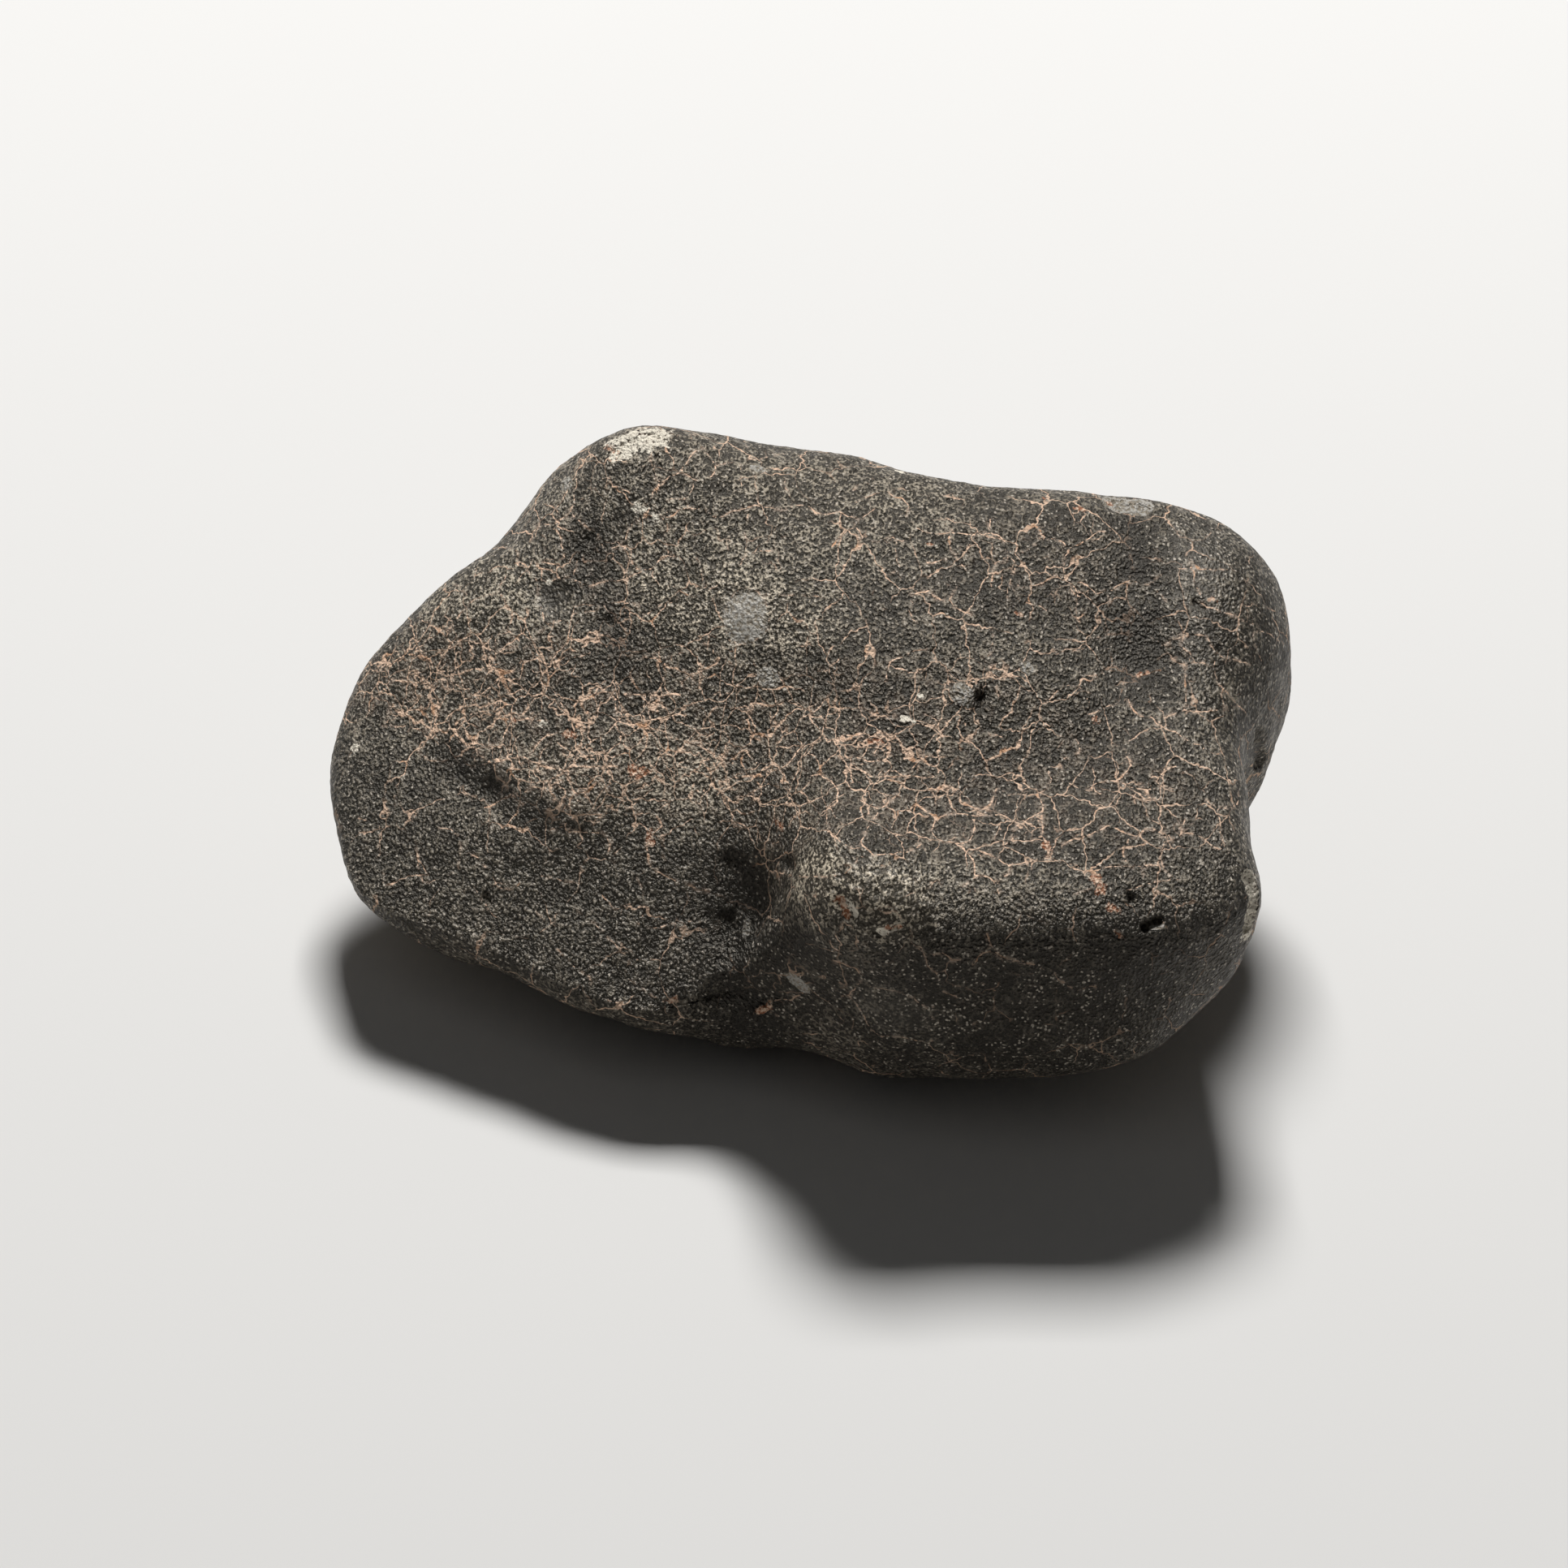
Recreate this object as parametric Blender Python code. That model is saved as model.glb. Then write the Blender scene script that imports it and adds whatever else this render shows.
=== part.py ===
"""A stony meteorite with a dark fusion crust, as one solid lying on its small flat spot.

Metres, +Z up. +X runs along the stone's long side and -Y faces the side whose wall is notched. The origin is
on the surface that the stone lies on, under the middle of its outline. The shapes below are written in
millimetres, round a centre of their own, and the finished stone is moved so that the middle of its outline is
at 0.
"""

import math

import bmesh
import bpy
from mathutils import Vector, noise

MM = 0.001
NAME = "stone"

# The blank before it is shaped: a cube cut into this many cells along each edge, then rounded to a ball.
CELLS = 28

# How far each point moves to the middle of its neighbours once the large forms are made.
SMOOTHING = 0.5

# The centre that the outline's stations are measured from.
CENTRE_X = 0.0
CENTRE_Y = -6.0

# Stations round the outline, anticlockwise from +X seen from above: the angle in degrees, the reach from
# the centre to the widest point, the height of that widest point, and how square the section is above it
# and below it (2 is an ellipse, larger is squarer, smaller is a bevel).
STATIONS = (
    (0, 26.6, 15.0, 3.2, 2.2),
    (12, 29.4, 15.0, 3.2, 2.2),
    (24, 32.2, 16.0, 3.3, 2.2),
    (36, 31.6, 17.0, 3.3, 2.2),
    (48, 26.3, 17.0, 3.3, 2.2),
    (68, 21.8, 16.0, 3.3, 2.2),
    (98, 23.0, 15.0, 3.4, 2.2),
    (116, 25.4, 15.0, 3.4, 2.2),
    (132, 28.6, 15.0, 3.4, 2.2),
    (146, 27.4, 14.5, 3.2, 2.2),
    (158, 30.2, 13.0, 3.3, 2.1),
    (170, 31.6, 11.0, 3.2, 2.1),
    (183, 30.7, 9.5, 2.8, 1.9),
    (196, 29.6, 8.5, 2.8, 1.8),
    (210, 24.2, 8.0, 3.0, 1.6),
    (227, 21.2, 7.5, 3.0, 1.6),
    (242, 20.0, 7.5, 2.2, 1.7),
    (256, 18.9, 8.5, 2.2, 1.8),
    (266, 18.2, 9.5, 2.8, 1.9),
    (275, 18.8, 10.5, 5.5, 1.9),
    (286, 21.4, 11.0, 6.5, 2.0),
    (304, 24.7, 11.5, 6.5, 2.0),
    (320, 29.5, 12.5, 5.5, 2.0),
    (333, 30.6, 14.0, 4.0, 2.0),
    (346, 27.8, 15.0, 3.3, 2.1),
)

# The top before it is cut and hollowed: its height at the centre, and how it rises along +X and +Y.
TOP_HEIGHT = 24.2
TOP_RISE_X = 0.03
TOP_RISE_Y = 0.27

# Slanting faces that cut the top away towards the outline: name, a point x, y, z on the face, the way it
# faces in degrees, its slope in degrees, and how far along it to the right it ends.
FACETS = (
    ("front left", -18.6, -12.6, 13.6, 243, 35, 10.0),
    ("left end", -26.0, 0.0, 21.5, 178, 38, 60.0),
)
# How softly two faces run together, and how steeply and softly the stone climbs again past a face's end.
BLEND = 1.8
END_RISE = 1.9
END_ROUND = 9.0

# How far the underside would reach below the surface that the stone lies on, which makes the flat spot.
SOLE_DEPTH = 0.6

# Hollows (positive depth) and lumps (negative depth) pressed straight down into the top:
# name, x, y, half length, half width, turn in degrees, depth.
TOP_MARKS = (
    ("peak at the back left", -14.0, 10.5, 8.5, 8.5, 0, -2.2),
    ("left basin", -25.5, -2.5, 4.5, 3.2, -25, 1.0),
    ("swell behind the groove", -17.0, -9.0, 7.5, 4.5, -30, -1.1),
    ("groove above the front left face", -22.0, -8.6, 4.5, 1.8, -39, 0.8),
    ("valley, upper run", -15.8, 3.0, 5.5, 2.0, -72, 0.9),
    ("valley, lower run", -10.5, -5.0, 5.0, 3.0, -35, 0.7),
    ("bulge", -5.0, -3.4, 5.0, 4.4, 0, -1.1),
    ("centre basin", -3.5, -11.0, 8.0, 4.5, -6, 1.1),
    ("right basin", 12.0, -13.0, 10.0, 5.5, -5, 1.3),
    ("right hollow", 18.6, -4.0, 3.2, 5.0, 0, 1.7),
    ("groove behind the right hollow", 18.6, 5.5, 2.7, 5.5, 0, 1.1),
    ("right shoulder", 25.5, 2.0, 4.5, 8.0, 0, -1.3),
    ("front rim", 14.0, -25.5, 13.0, 4.0, 0, -1.2),
    ("bump beside the notch", 1.6, -22.2, 4.2, 3.6, 0, -1.6),
)

# Hollows and lumps in the walls and the underside, pressed along the surface's own direction:
# name, x, y, z, radius, depth.
WALL_MARKS = (
    ("front notch, upper", -5.2, -20.0, 15.0, 3.7, 2.4),
    ("front of the bump beside the notch", 2.2, -24.4, 17.6, 4.5, -2.3),
    ("front notch, lower", -5.2, -23.4, 8.8, 4.6, 2.9),
    ("lip below the notch", -1.5, -24.5, 6.0, 3.2, -0.9),
    ("hollow under the right rim", 23.0, -22.5, 13.0, 4.5, 1.6),
    ("step in the right end", 26.5, -5.5, 15.0, 3.5, 0.9),
    ("thumbprint, right end", 27.5, 3.0, 10.0, 5.0, 1.0),
    ("thumbprint, back right", 17.0, 13.0, 13.0, 6.0, 1.3),
    ("thumbprint, back middle", 2.0, 16.0, 16.0, 6.5, 1.5),
    ("thumbprint, back left", -12.0, 16.0, 10.0, 6.0, 1.4),
    ("thumbprint, left end", -28.5, 2.5, 8.0, 5.0, 1.0),
    ("thumbprint, underside right", 14.0, -10.0, 1.5, 6.5, 1.1),
    ("thumbprint, underside left", -14.0, -2.0, 1.5, 6.0, 1.0),
    ("thumbprint, underside back", 4.0, 8.0, 3.5, 6.0, 1.0),
)

# The surface's own unevenness, as two sizes of soft lumps: their size across and their height.
UNEVENNESS = ((7.5, 0.45), (3.6, 0.28))

CRUST_COLOUR = (0.058, 0.050, 0.043, 1.0)
CRUST_ROUGHNESS = 0.62


def periodic(angle, column):
    """The stations' value in a column at any angle, by a smooth curve that closes on itself."""
    count = len(STATIONS)
    after = next((i for i, row in enumerate(STATIONS) if row[0] > angle), count)
    steps = (-2, -1, 0, 1)
    rows = [STATIONS[(after + step) % count] for step in steps]
    places = [row[0] + 360 * ((after + step) // count) for row, step in zip(rows, steps)]
    values = [row[column] for row in rows]
    span = places[2] - places[1]
    share = (angle - places[1]) / span
    slope_in = (values[2] - values[0]) / (places[2] - places[0]) * span
    slope_out = (values[3] - values[1]) / (places[3] - places[1]) * span
    square = share * share
    cube = square * share
    return (
        (2 * cube - 3 * square + 1) * values[1]
        + (cube - 2 * square + share) * slope_in
        + (3 * square - 2 * cube) * values[2]
        + (cube - square) * slope_out
    )


def bell(distance):
    """A smooth hollow's share of its depth at this many radii from its middle."""
    return math.exp(-1.2 * distance * distance)


def softer_of(one, other):
    """The lower of two heights, with a round edge where they meet."""
    near = max(BLEND * 2 - abs(one - other), 0) / (BLEND * 2)
    return min(one, other) - near * near * BLEND / 2


def facet_height(x, y, facet_x, facet_y, facet_z, faces, slope, end):
    """How high a slanting face stands over this place."""
    faces_x = math.cos(math.radians(faces))
    faces_y = math.sin(math.radians(faces))
    beyond = (x - facet_x) * faces_x + (y - facet_y) * faces_y
    along = (y - facet_y) * faces_x - (x - facet_x) * faces_y
    past_end = max(along - end, 0)
    climb = END_RISE * past_end * past_end / (past_end + END_ROUND)
    return facet_z - math.tan(math.radians(slope)) * beyond + climb


def mark_depth(x, y, mark_x, mark_y, half_length, half_width, turn, depth):
    """How deep a hollow in the top is at this place."""
    cos_turn = math.cos(math.radians(turn))
    sin_turn = math.sin(math.radians(turn))
    along = (x - mark_x) * cos_turn + (y - mark_y) * sin_turn
    across = (y - mark_y) * cos_turn - (x - mark_x) * sin_turn
    return depth * bell(math.hypot(along / half_length, across / half_width))


def top_height(x, y):
    height = TOP_HEIGHT + TOP_RISE_X * x + TOP_RISE_Y * (y - CENTRE_Y)
    for _, *facet in FACETS:
        height = softer_of(height, facet_height(x, y, *facet))
    return height - sum(mark_depth(x, y, *mark) for _, *mark in TOP_MARKS)


def pillow(direction):
    """The stone's surface in this direction of the ball, in millimetres."""
    angle = math.degrees(math.atan2(direction.y, direction.x)) % 360
    flat = math.hypot(direction.x, direction.y)
    reach = periodic(angle, 1)
    belly = periodic(angle, 2)
    power = periodic(angle, 3 if direction.z > 0 else 4)
    size = (flat ** power + abs(direction.z) ** power) ** (1 / power)
    out = reach * flat / size
    rise = abs(direction.z) / size
    x = CENTRE_X + out * math.cos(math.radians(angle))
    y = CENTRE_Y + out * math.sin(math.radians(angle))
    end = top_height(x, y) if direction.z > 0 else -SOLE_DEPTH
    return Vector((x, y, belly + (end - belly) * rise))


def outward_push(point):
    """How far the surface moves out at this point, for the walls' marks and the unevenness."""
    push = 0.0
    for _, x, y, z, radius, depth in WALL_MARKS:
        push -= depth * bell((point - Vector((x, y, z))).length / radius)
    for across, height in UNEVENNESS:
        push += height * noise.noise(point / across)
    return push


def stone_mesh():
    ball = bmesh.new()
    bmesh.ops.create_cube(ball, size=2)
    bmesh.ops.subdivide_edges(ball, edges=ball.edges[:], cuts=CELLS - 1, use_grid_fill=True)
    for vertex in ball.verts:
        even = Vector(math.tan(share * math.pi / 4) for share in vertex.co)
        vertex.co = pillow(even.normalized())
    bmesh.ops.smooth_vert(
        ball, verts=ball.verts[:], factor=SMOOTHING, use_axis_x=True, use_axis_y=True, use_axis_z=True
    )
    ball.normal_update()
    for vertex in ball.verts:
        vertex.co += vertex.normal * outward_push(vertex.co)
        vertex.co.z = max(vertex.co.z, 0)
    middle_x = (min(v.co.x for v in ball.verts) + max(v.co.x for v in ball.verts)) / 2
    middle_y = (min(v.co.y for v in ball.verts) + max(v.co.y for v in ball.verts)) / 2
    bmesh.ops.translate(ball, verts=ball.verts[:], vec=(-middle_x, -middle_y, 0))
    bmesh.ops.scale(ball, verts=ball.verts[:], vec=(MM, MM, MM))
    mesh = bpy.data.meshes.new(NAME)
    ball.to_mesh(mesh)
    ball.free()
    mesh.shade_smooth()
    return mesh


def crust_material():
    material = bpy.data.materials.new("fusion crust")
    material.use_nodes = True
    shader = material.node_tree.nodes["Principled BSDF"]
    shader.inputs["Base Color"].default_value = CRUST_COLOUR
    shader.inputs["Roughness"].default_value = CRUST_ROUGHNESS
    shader.inputs["Metallic"].default_value = 0.0
    return material


def build():
    for old in list(bpy.data.objects):
        bpy.data.objects.remove(old)
    collection = bpy.data.collections.new("chondrite meteorite")
    bpy.context.scene.collection.children.link(collection)
    stone = bpy.data.objects.new(NAME, stone_mesh())
    stone.data.materials.append(crust_material())
    collection.objects.link(stone)


build()
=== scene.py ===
"""The looks of a stony meteorite: its crust, its net of pale cracks, its chips and grains, on a pale floor.

The stone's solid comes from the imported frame. A copy of it is refined and carved, and the finish is a
procedural material. Lengths are in metres unless a name or a comment says millimetres. Places on the side
that the photograph shows are given as pixels of the 1932 x 1932 picture, and each is found again on the
stone itself by looking through the camera.
"""

import itertools
import math

import bpy
import numpy as np
from bpy.props import FloatProperty, FloatVectorProperty, IntProperty, PointerProperty
from mathutils import Matrix, Vector, bvhtree, kdtree, noise


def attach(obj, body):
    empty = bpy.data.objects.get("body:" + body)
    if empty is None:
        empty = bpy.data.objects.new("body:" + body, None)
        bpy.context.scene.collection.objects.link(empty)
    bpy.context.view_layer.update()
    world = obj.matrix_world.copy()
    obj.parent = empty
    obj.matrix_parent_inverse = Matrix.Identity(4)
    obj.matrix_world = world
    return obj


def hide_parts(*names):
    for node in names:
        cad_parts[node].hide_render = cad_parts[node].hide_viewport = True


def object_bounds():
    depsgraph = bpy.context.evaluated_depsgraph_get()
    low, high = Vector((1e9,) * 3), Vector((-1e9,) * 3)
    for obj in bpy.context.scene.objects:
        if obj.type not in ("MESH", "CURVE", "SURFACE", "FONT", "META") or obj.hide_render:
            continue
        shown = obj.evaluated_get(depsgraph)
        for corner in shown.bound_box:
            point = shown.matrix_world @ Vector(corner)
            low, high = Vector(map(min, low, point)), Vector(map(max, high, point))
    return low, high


bl_info = {
    "name": "Chondrite meteorite",
    "version": (1, 0, 0),
    "blender": (4, 5, 0),
    "location": "View3D > Sidebar > Meteorite",
    "description": "Dresses a stony meteorite with its cracked fusion crust and sets it on a pale floor",
    "category": "Object",
}

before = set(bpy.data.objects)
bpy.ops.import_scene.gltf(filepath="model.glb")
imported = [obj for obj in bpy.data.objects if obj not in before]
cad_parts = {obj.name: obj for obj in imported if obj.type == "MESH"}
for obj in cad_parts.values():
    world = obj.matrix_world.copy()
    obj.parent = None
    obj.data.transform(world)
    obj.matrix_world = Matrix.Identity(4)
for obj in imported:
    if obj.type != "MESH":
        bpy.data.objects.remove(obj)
CAD_BOX = [list(corner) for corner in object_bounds()]

MM = 0.001
STONE_NODE = "stone"

# The photograph's frame and the camera that took it.
PHOTO_SIDE = 1932
FOCAL_LENGTH_PX = 9000
SENSOR = 0.036
CAMERA_PLACE = (-0.00155, -0.37367, 0.28362)
STONE_MIDDLE_PX = (1000, 930)
LOOK_DOWN = math.radians(35.91)
CAMERA_ROLL = math.radians(-4.32)
CLIP_START = 0.01

# A pixel just past the stone's outline is moved towards the stone's middle, by the first of these shares of
# the way that brings it onto the stone.
INWARD_SHARES = np.linspace(0, 0.2, 41)

# The stage. A light's azimuth of 0 degrees is behind the stone, and 90 is at its right.
MAIN_LIGHT = {"azimuth": -4.5, "elevation": 57, "distance": 0.9, "size": 0.25}
FILL_LIGHT = {"azimuth": 200, "elevation": 55, "distance": 0.9, "size": 0.7}
SURROUNDINGS_COLOUR = (1, 1, 1, 1)
FLOOR_ROUGHNESS = 0.8

# Relief that the photograph shows: name, two pixels that the mark runs between, its radius and its depth in
# mm (a negative depth stands out), and how square its edge is (2 is a soft dimple, 6 a steep pit).
RELIEF = (
    ("grey dimple", (680, 734), (686, 742), 1.2, 0.14, 2.5),
    ("crease of the groove, upper", (552, 942), (600, 974), 1.7, 0.16, 2),
    ("crease of the groove, lower", (600, 974), (672, 1016), 1.7, 0.16, 2),
    ("ledge above the crease, upper", (566, 918), (622, 950), 1.8, -0.14, 2),
    ("ledge above the crease, lower", (622, 950), (700, 994), 1.8, -0.14, 2),
    ("hole right of the dimple", (748, 764), (752, 768), 0.6, 0.28, 2.5),
    ("hollow above the dimple", (724, 664), (718, 692), 1.0, 0.30, 2),
    ("crevice under the edge chip", (803, 562), (797, 598), 0.5, 0.30, 3),
    ("edge chip, back left", (770, 552), (804, 542), 1.1, 0.28, 6),
    ("edge chip, back right", (1374, 622), (1402, 626), 1.0, 0.22, 6),
    ("pale boss", (1184, 854), (1190, 860), 1.0, -0.35, 2.5),
    ("pit beside the boss", (1208, 856), (1203, 872), 0.5, 0.60, 3),
    ("speck hole below the boss", (1190, 889), (1193, 891), 0.3, 0.30, 3),
    ("pit below the boss", (1206, 940), (1214, 946), 0.6, 0.20, 2),
    ("speck hole, bulge right", (1141, 828), (1142, 832), 0.35, 0.25, 3),
    ("speck hole, upper", (1092, 805), (1093, 808), 0.35, 0.25, 3),
    ("speck hole, middle", (1148, 802), (1150, 806), 0.35, 0.25, 3),
    ("shoulder holes", (1474, 741), (1482, 748), 0.35, 0.25, 3),
    ("shoulder hole, lower", (1503, 800), (1505, 804), 0.30, 0.18, 3),
    ("step in the right end", (1551, 905), (1553, 940), 0.8, 0.40, 3),
    ("slit in the front rim", (1395, 1104), (1396, 1117), 0.3, 0.45, 3),
    ("gap in the front rim", (1412, 1143), (1428, 1136), 0.4, 0.50, 3),
    ("nub in the front rim", (1422, 1146), (1430, 1144), 0.5, -0.30, 2),
    ("chip at the right edge", (1540, 1084), (1540, 1138), 0.8, 0.45, 5),
    ("chip on the front bump", (1038, 1112), (1044, 1126), 0.9, 0.40, 3),
    ("pit in the front left wall", (597, 1105), (599, 1109), 0.45, 0.25, 3),
    ("notch, upper", (898, 1058), (904, 1062), 1.0, 0.22, 2),
    ("notch, middle", (968, 1062), (976, 1066), 0.8, 0.25, 2),
    ("notch, lower", (890, 1140), (894, 1170), 1.6, 0.30, 2),
    ("tongue in the notch", (920, 1132), (917, 1152), 0.5, -0.15, 2),
    ("lip below the notch", (928, 1250), (956, 1234), 0.6, -0.40, 2),
    ("shoulder of the bump beside the notch", (1050, 1130), (1112, 1124), 3.6, -0.45, 2),
    ("oval plate", (1090, 1242), (1122, 1258), 1.7, -0.10, 6),
    ("round grain", (918, 752), (920, 768), 1.35, -0.06, 6),
)

# How rough the crust is, how crazed and how pale it is: name, two pixels that the area runs
# between, its radius in mm, the roughness, the crazing and how pale it is there. Elsewhere they are as in
# USUAL_CRUST. This pale factor is partly the crust's own tone and partly painted light and shade. It is
# raised as painted light where the top catches the light: on the bulge, the foot of the left slope, the
# front rim and the bump beside the notch. It is lowered as painted shade in the notch, the valley, the
# groove, the hollows and on the front walls.
USUAL_CRUST = (1.0, 0.55, 1.0)
AREAS = (
    ("left half of the top", (620, 820), (760, 960), 7.0, 1.05, 0.80, 1.45),
    ("brow", (620, 720), (560, 780), 4.0, 0.80, 0.40, 2.70),
    ("back left", (680, 600), (780, 680), 5.5, 1.00, 0.70, 1.45),
    ("bulge", (860, 740), (940, 800), 4.5, 1.10, 0.45, 3.80),
    ("central basin", (800, 930), (1200, 960), 8.0, 1.30, 1.00, 1.20),
    ("left basin", (480, 850), (660, 880), 5.0, 1.05, 1.25, 1.50),
    ("foot of the left slope", (690, 990), (810, 970), 4.0, 1.15, 1.30, 3.20),
    ("right basin", (1250, 980), (1480, 1020), 5.5, 1.05, 0.85, 0.85),
    ("back right", (1150, 680), (1380, 720), 5.0, 1.10, 0.75, 0.90),
    ("plateau", (860, 620), (1080, 640), 5.0, 1.10, 0.40, 1.90),
    ("right shoulder", (1520, 700), (1540, 880), 5.5, 0.50, 0.45, 0.80),
    ("right end", (1560, 1000), (1530, 1100), 3.5, 0.50, 0.25, 0.90),
    ("band at the back right", (1396, 640), (1404, 700), 1.8, 1.10, 0.60, 0.45),
    ("right hollow", (1396, 770), (1402, 836), 2.4, 1.00, 0.55, 0.30),
    ("front left lobe", (440, 960), (560, 1060), 4.0, 1.05, 0.25, 0.80),
    ("front left wall", (480, 1120), (800, 1220), 7.0, 1.20, 0.55, 0.75),
    ("front rim", (1130, 1110), (1450, 1122), 2.6, 0.60, 0.40, 2.70),
    ("front right wall", (1200, 1230), (1440, 1200), 7.0, 1.15, 0.45, 0.26),
    ("front left wall, top", (560, 1060), (840, 1080), 3.5, 1.10, 0.40, 0.95),
    ("notch", (905, 1110), (935, 1270), 3.2, 1.20, 0.30, 0.28),
    ("valley", (724, 664), (768, 800), 1.7, 1.10, 0.80, 0.55),
    ("groove", (550, 936), (680, 1010), 1.3, 1.10, 0.70, 0.50),
    ("hollow beside the bulge", (1010, 835), (1100, 885), 1.9, 1.30, 0.90, 0.65),
    ("bump beside the notch", (1000, 1085), (1110, 1112), 2.4, 0.35, 0.30, 3.50),
    ("front wall under the bump", (960, 1190), (1150, 1220), 3.5, 1.10, 0.45, 0.36),
    ("round grain", (917, 752), (919, 772), 1.35, 0.30, 0.0, 1.50),
    ("grey dimple", (680, 734), (686, 742), 1.1, 0.20, 0.0, 0.90),
    ("oval plate", (1090, 1242), (1122, 1258), 1.8, 0.20, 0.0, 0.70),
)

# Minerals that show through the crust, and dark patches that are mostly painted shade in the valleys, the
# groove, the hollows, the notch, the pits and on the front wall, with a few spots of dark crust: name, two
# pixels that the patch runs between, its radius in mm.
CREAM = (
    ("edge chip, back left", (768, 550), (806, 540), 1.50),
    ("fleck by the dimple", (675, 717), (678, 718), 0.30),
    ("fleck on the plateau", (806, 638), (810, 641), 0.35),
    ("blob, back left", (784, 626), (792, 627), 0.45),
    ("fleck on the left rim", (436, 920), (439, 923), 0.30),
    ("flake", (1114, 885), (1122, 888), 0.35),
    ("flake above", (1130, 855), (1134, 857), 0.25),
    ("chip at the right edge", (1538, 1082), (1536, 1150), 0.80),
    ("chip on the front bump", (1044, 1110), (1056, 1126), 0.38),
    ("piece in the wall", (1083, 1146), (1094, 1150), 0.25),
    ("fleck on the back edge", (1106, 580), (1113, 582), 0.30),
    ("fleck in the left basin", (667, 890), (670, 892), 0.30),
)
GREY = (
    ("edge chip, back right", (1374, 622), (1404, 626), 1.05),
    ("nub in the front rim", (1422, 1144), (1430, 1142), 0.35),
    ("tongue in the notch", (920, 1136), (918, 1150), 0.30),
    ("rough patch on the wall", (978, 1206), (990, 1216), 0.55),
    ("round grain", (918, 752), (920, 768), 1.45),
    ("pale boss", (1184, 852), (1190, 858), 0.80),
    ("grain on the plateau", (1264, 822), (1266, 824), 0.50),
    ("grain at the foot of the bulge", (944, 832), (948, 836), 0.70),
    ("grain at the top", (930, 575), (936, 578), 0.45),
    ("grain on the brow", (696, 594), (700, 598), 0.50),
)
RUST = (
    ("edge chip, back left", (748, 552), (754, 554), 0.45),
    ("edge chip, back right", (1363, 618), (1366, 620), 0.35),
    ("star, left basin", (632, 888), (636, 884), 0.35),
    ("star, below the basin", (698, 902), (704, 906), 0.45),
    ("stained basin", (780, 948), (790, 954), 0.60),
    ("long crack's end", (800, 1024), (802, 1040), 0.35),
    ("branched spot", (956, 1010), (964, 1018), 0.40),
    ("lip of the notch", (932, 1246), (946, 1240), 0.40),
    ("chip on the lower edge", (823, 1234), (832, 1232), 0.35),
    ("chip on the front bump", (1036, 1108), (1044, 1126), 0.45),
    ("front rim", (1288, 1042), (1292, 1054), 0.40),
    ("front rim, right", (1350, 1082), (1356, 1096), 0.55),
    ("dash in the right hollow", (1396, 833), (1414, 829), 0.22),
    ("spot below the hollow", (1350, 888), (1356, 888), 0.45),
    ("spot under the rim", (1374, 1148), (1382, 1156), 0.30),
    ("spot on the front rim", (1366, 1118), (1376, 1122), 0.35),
    ("rim of the piece in the wall", (1094, 1143), (1108, 1142), 0.25),
    ("basin star", (1072, 912), (1084, 914), 0.40),
    ("dot on the back, left", (1144, 670), (1148, 672), 0.25),
    ("dot on the back, middle", (1284, 613), (1287, 615), 0.25),
    ("dots at the back", (1324, 626), (1334, 628), 0.30),
    ("blob, middle", (1253, 755), (1258, 757), 0.30),
    ("shoulder", (1490, 737), (1498, 740), 0.25),
)
# Mostly painted shade, laid in the valleys, the groove's crease, the right hollow, the notch, the lee of the
# bump, the pits and the front wall's end. The brown spot, the oval plate and the grey dimple are partly the
# crust's own dark tone.
DARK_AND_PAINTED_SHADE = (
    ("grey dimple", (680, 732), (684, 736), 0.95),
    ("oval plate", (1090, 1242), (1122, 1258), 1.55),
    ("brown spot", (1344, 938), (1352, 940), 0.80),
    ("valley", (728, 664), (720, 692), 1.10),
    ("valley, lower", (752, 764), (770, 830), 0.90),
    ("band at the back right", (1392, 650), (1404, 705), 1.10),
    ("right hollow", (1396, 770), (1408, 832), 1.70),
    ("crease of the groove", (548, 936), (668, 1008), 0.90),
    ("notch", (905, 1110), (930, 1262), 2.40),
    ("notch, upper", (898, 1056), (906, 1062), 0.80),
    ("notch, middle", (966, 1060), (974, 1066), 0.60),
    ("lee of the bump", (985, 1160), (1010, 1180), 1.80),
    ("dark end of the front wall", (1380, 1170), (1440, 1190), 2.50),
    ("patch, right basin", (1302, 1024), (1308, 1028), 0.80),
    ("patch below the boss", (1204, 944), (1212, 948), 0.80),
    ("pit beside the boss", (1208, 857), (1203, 871), 0.40),
)

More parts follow.
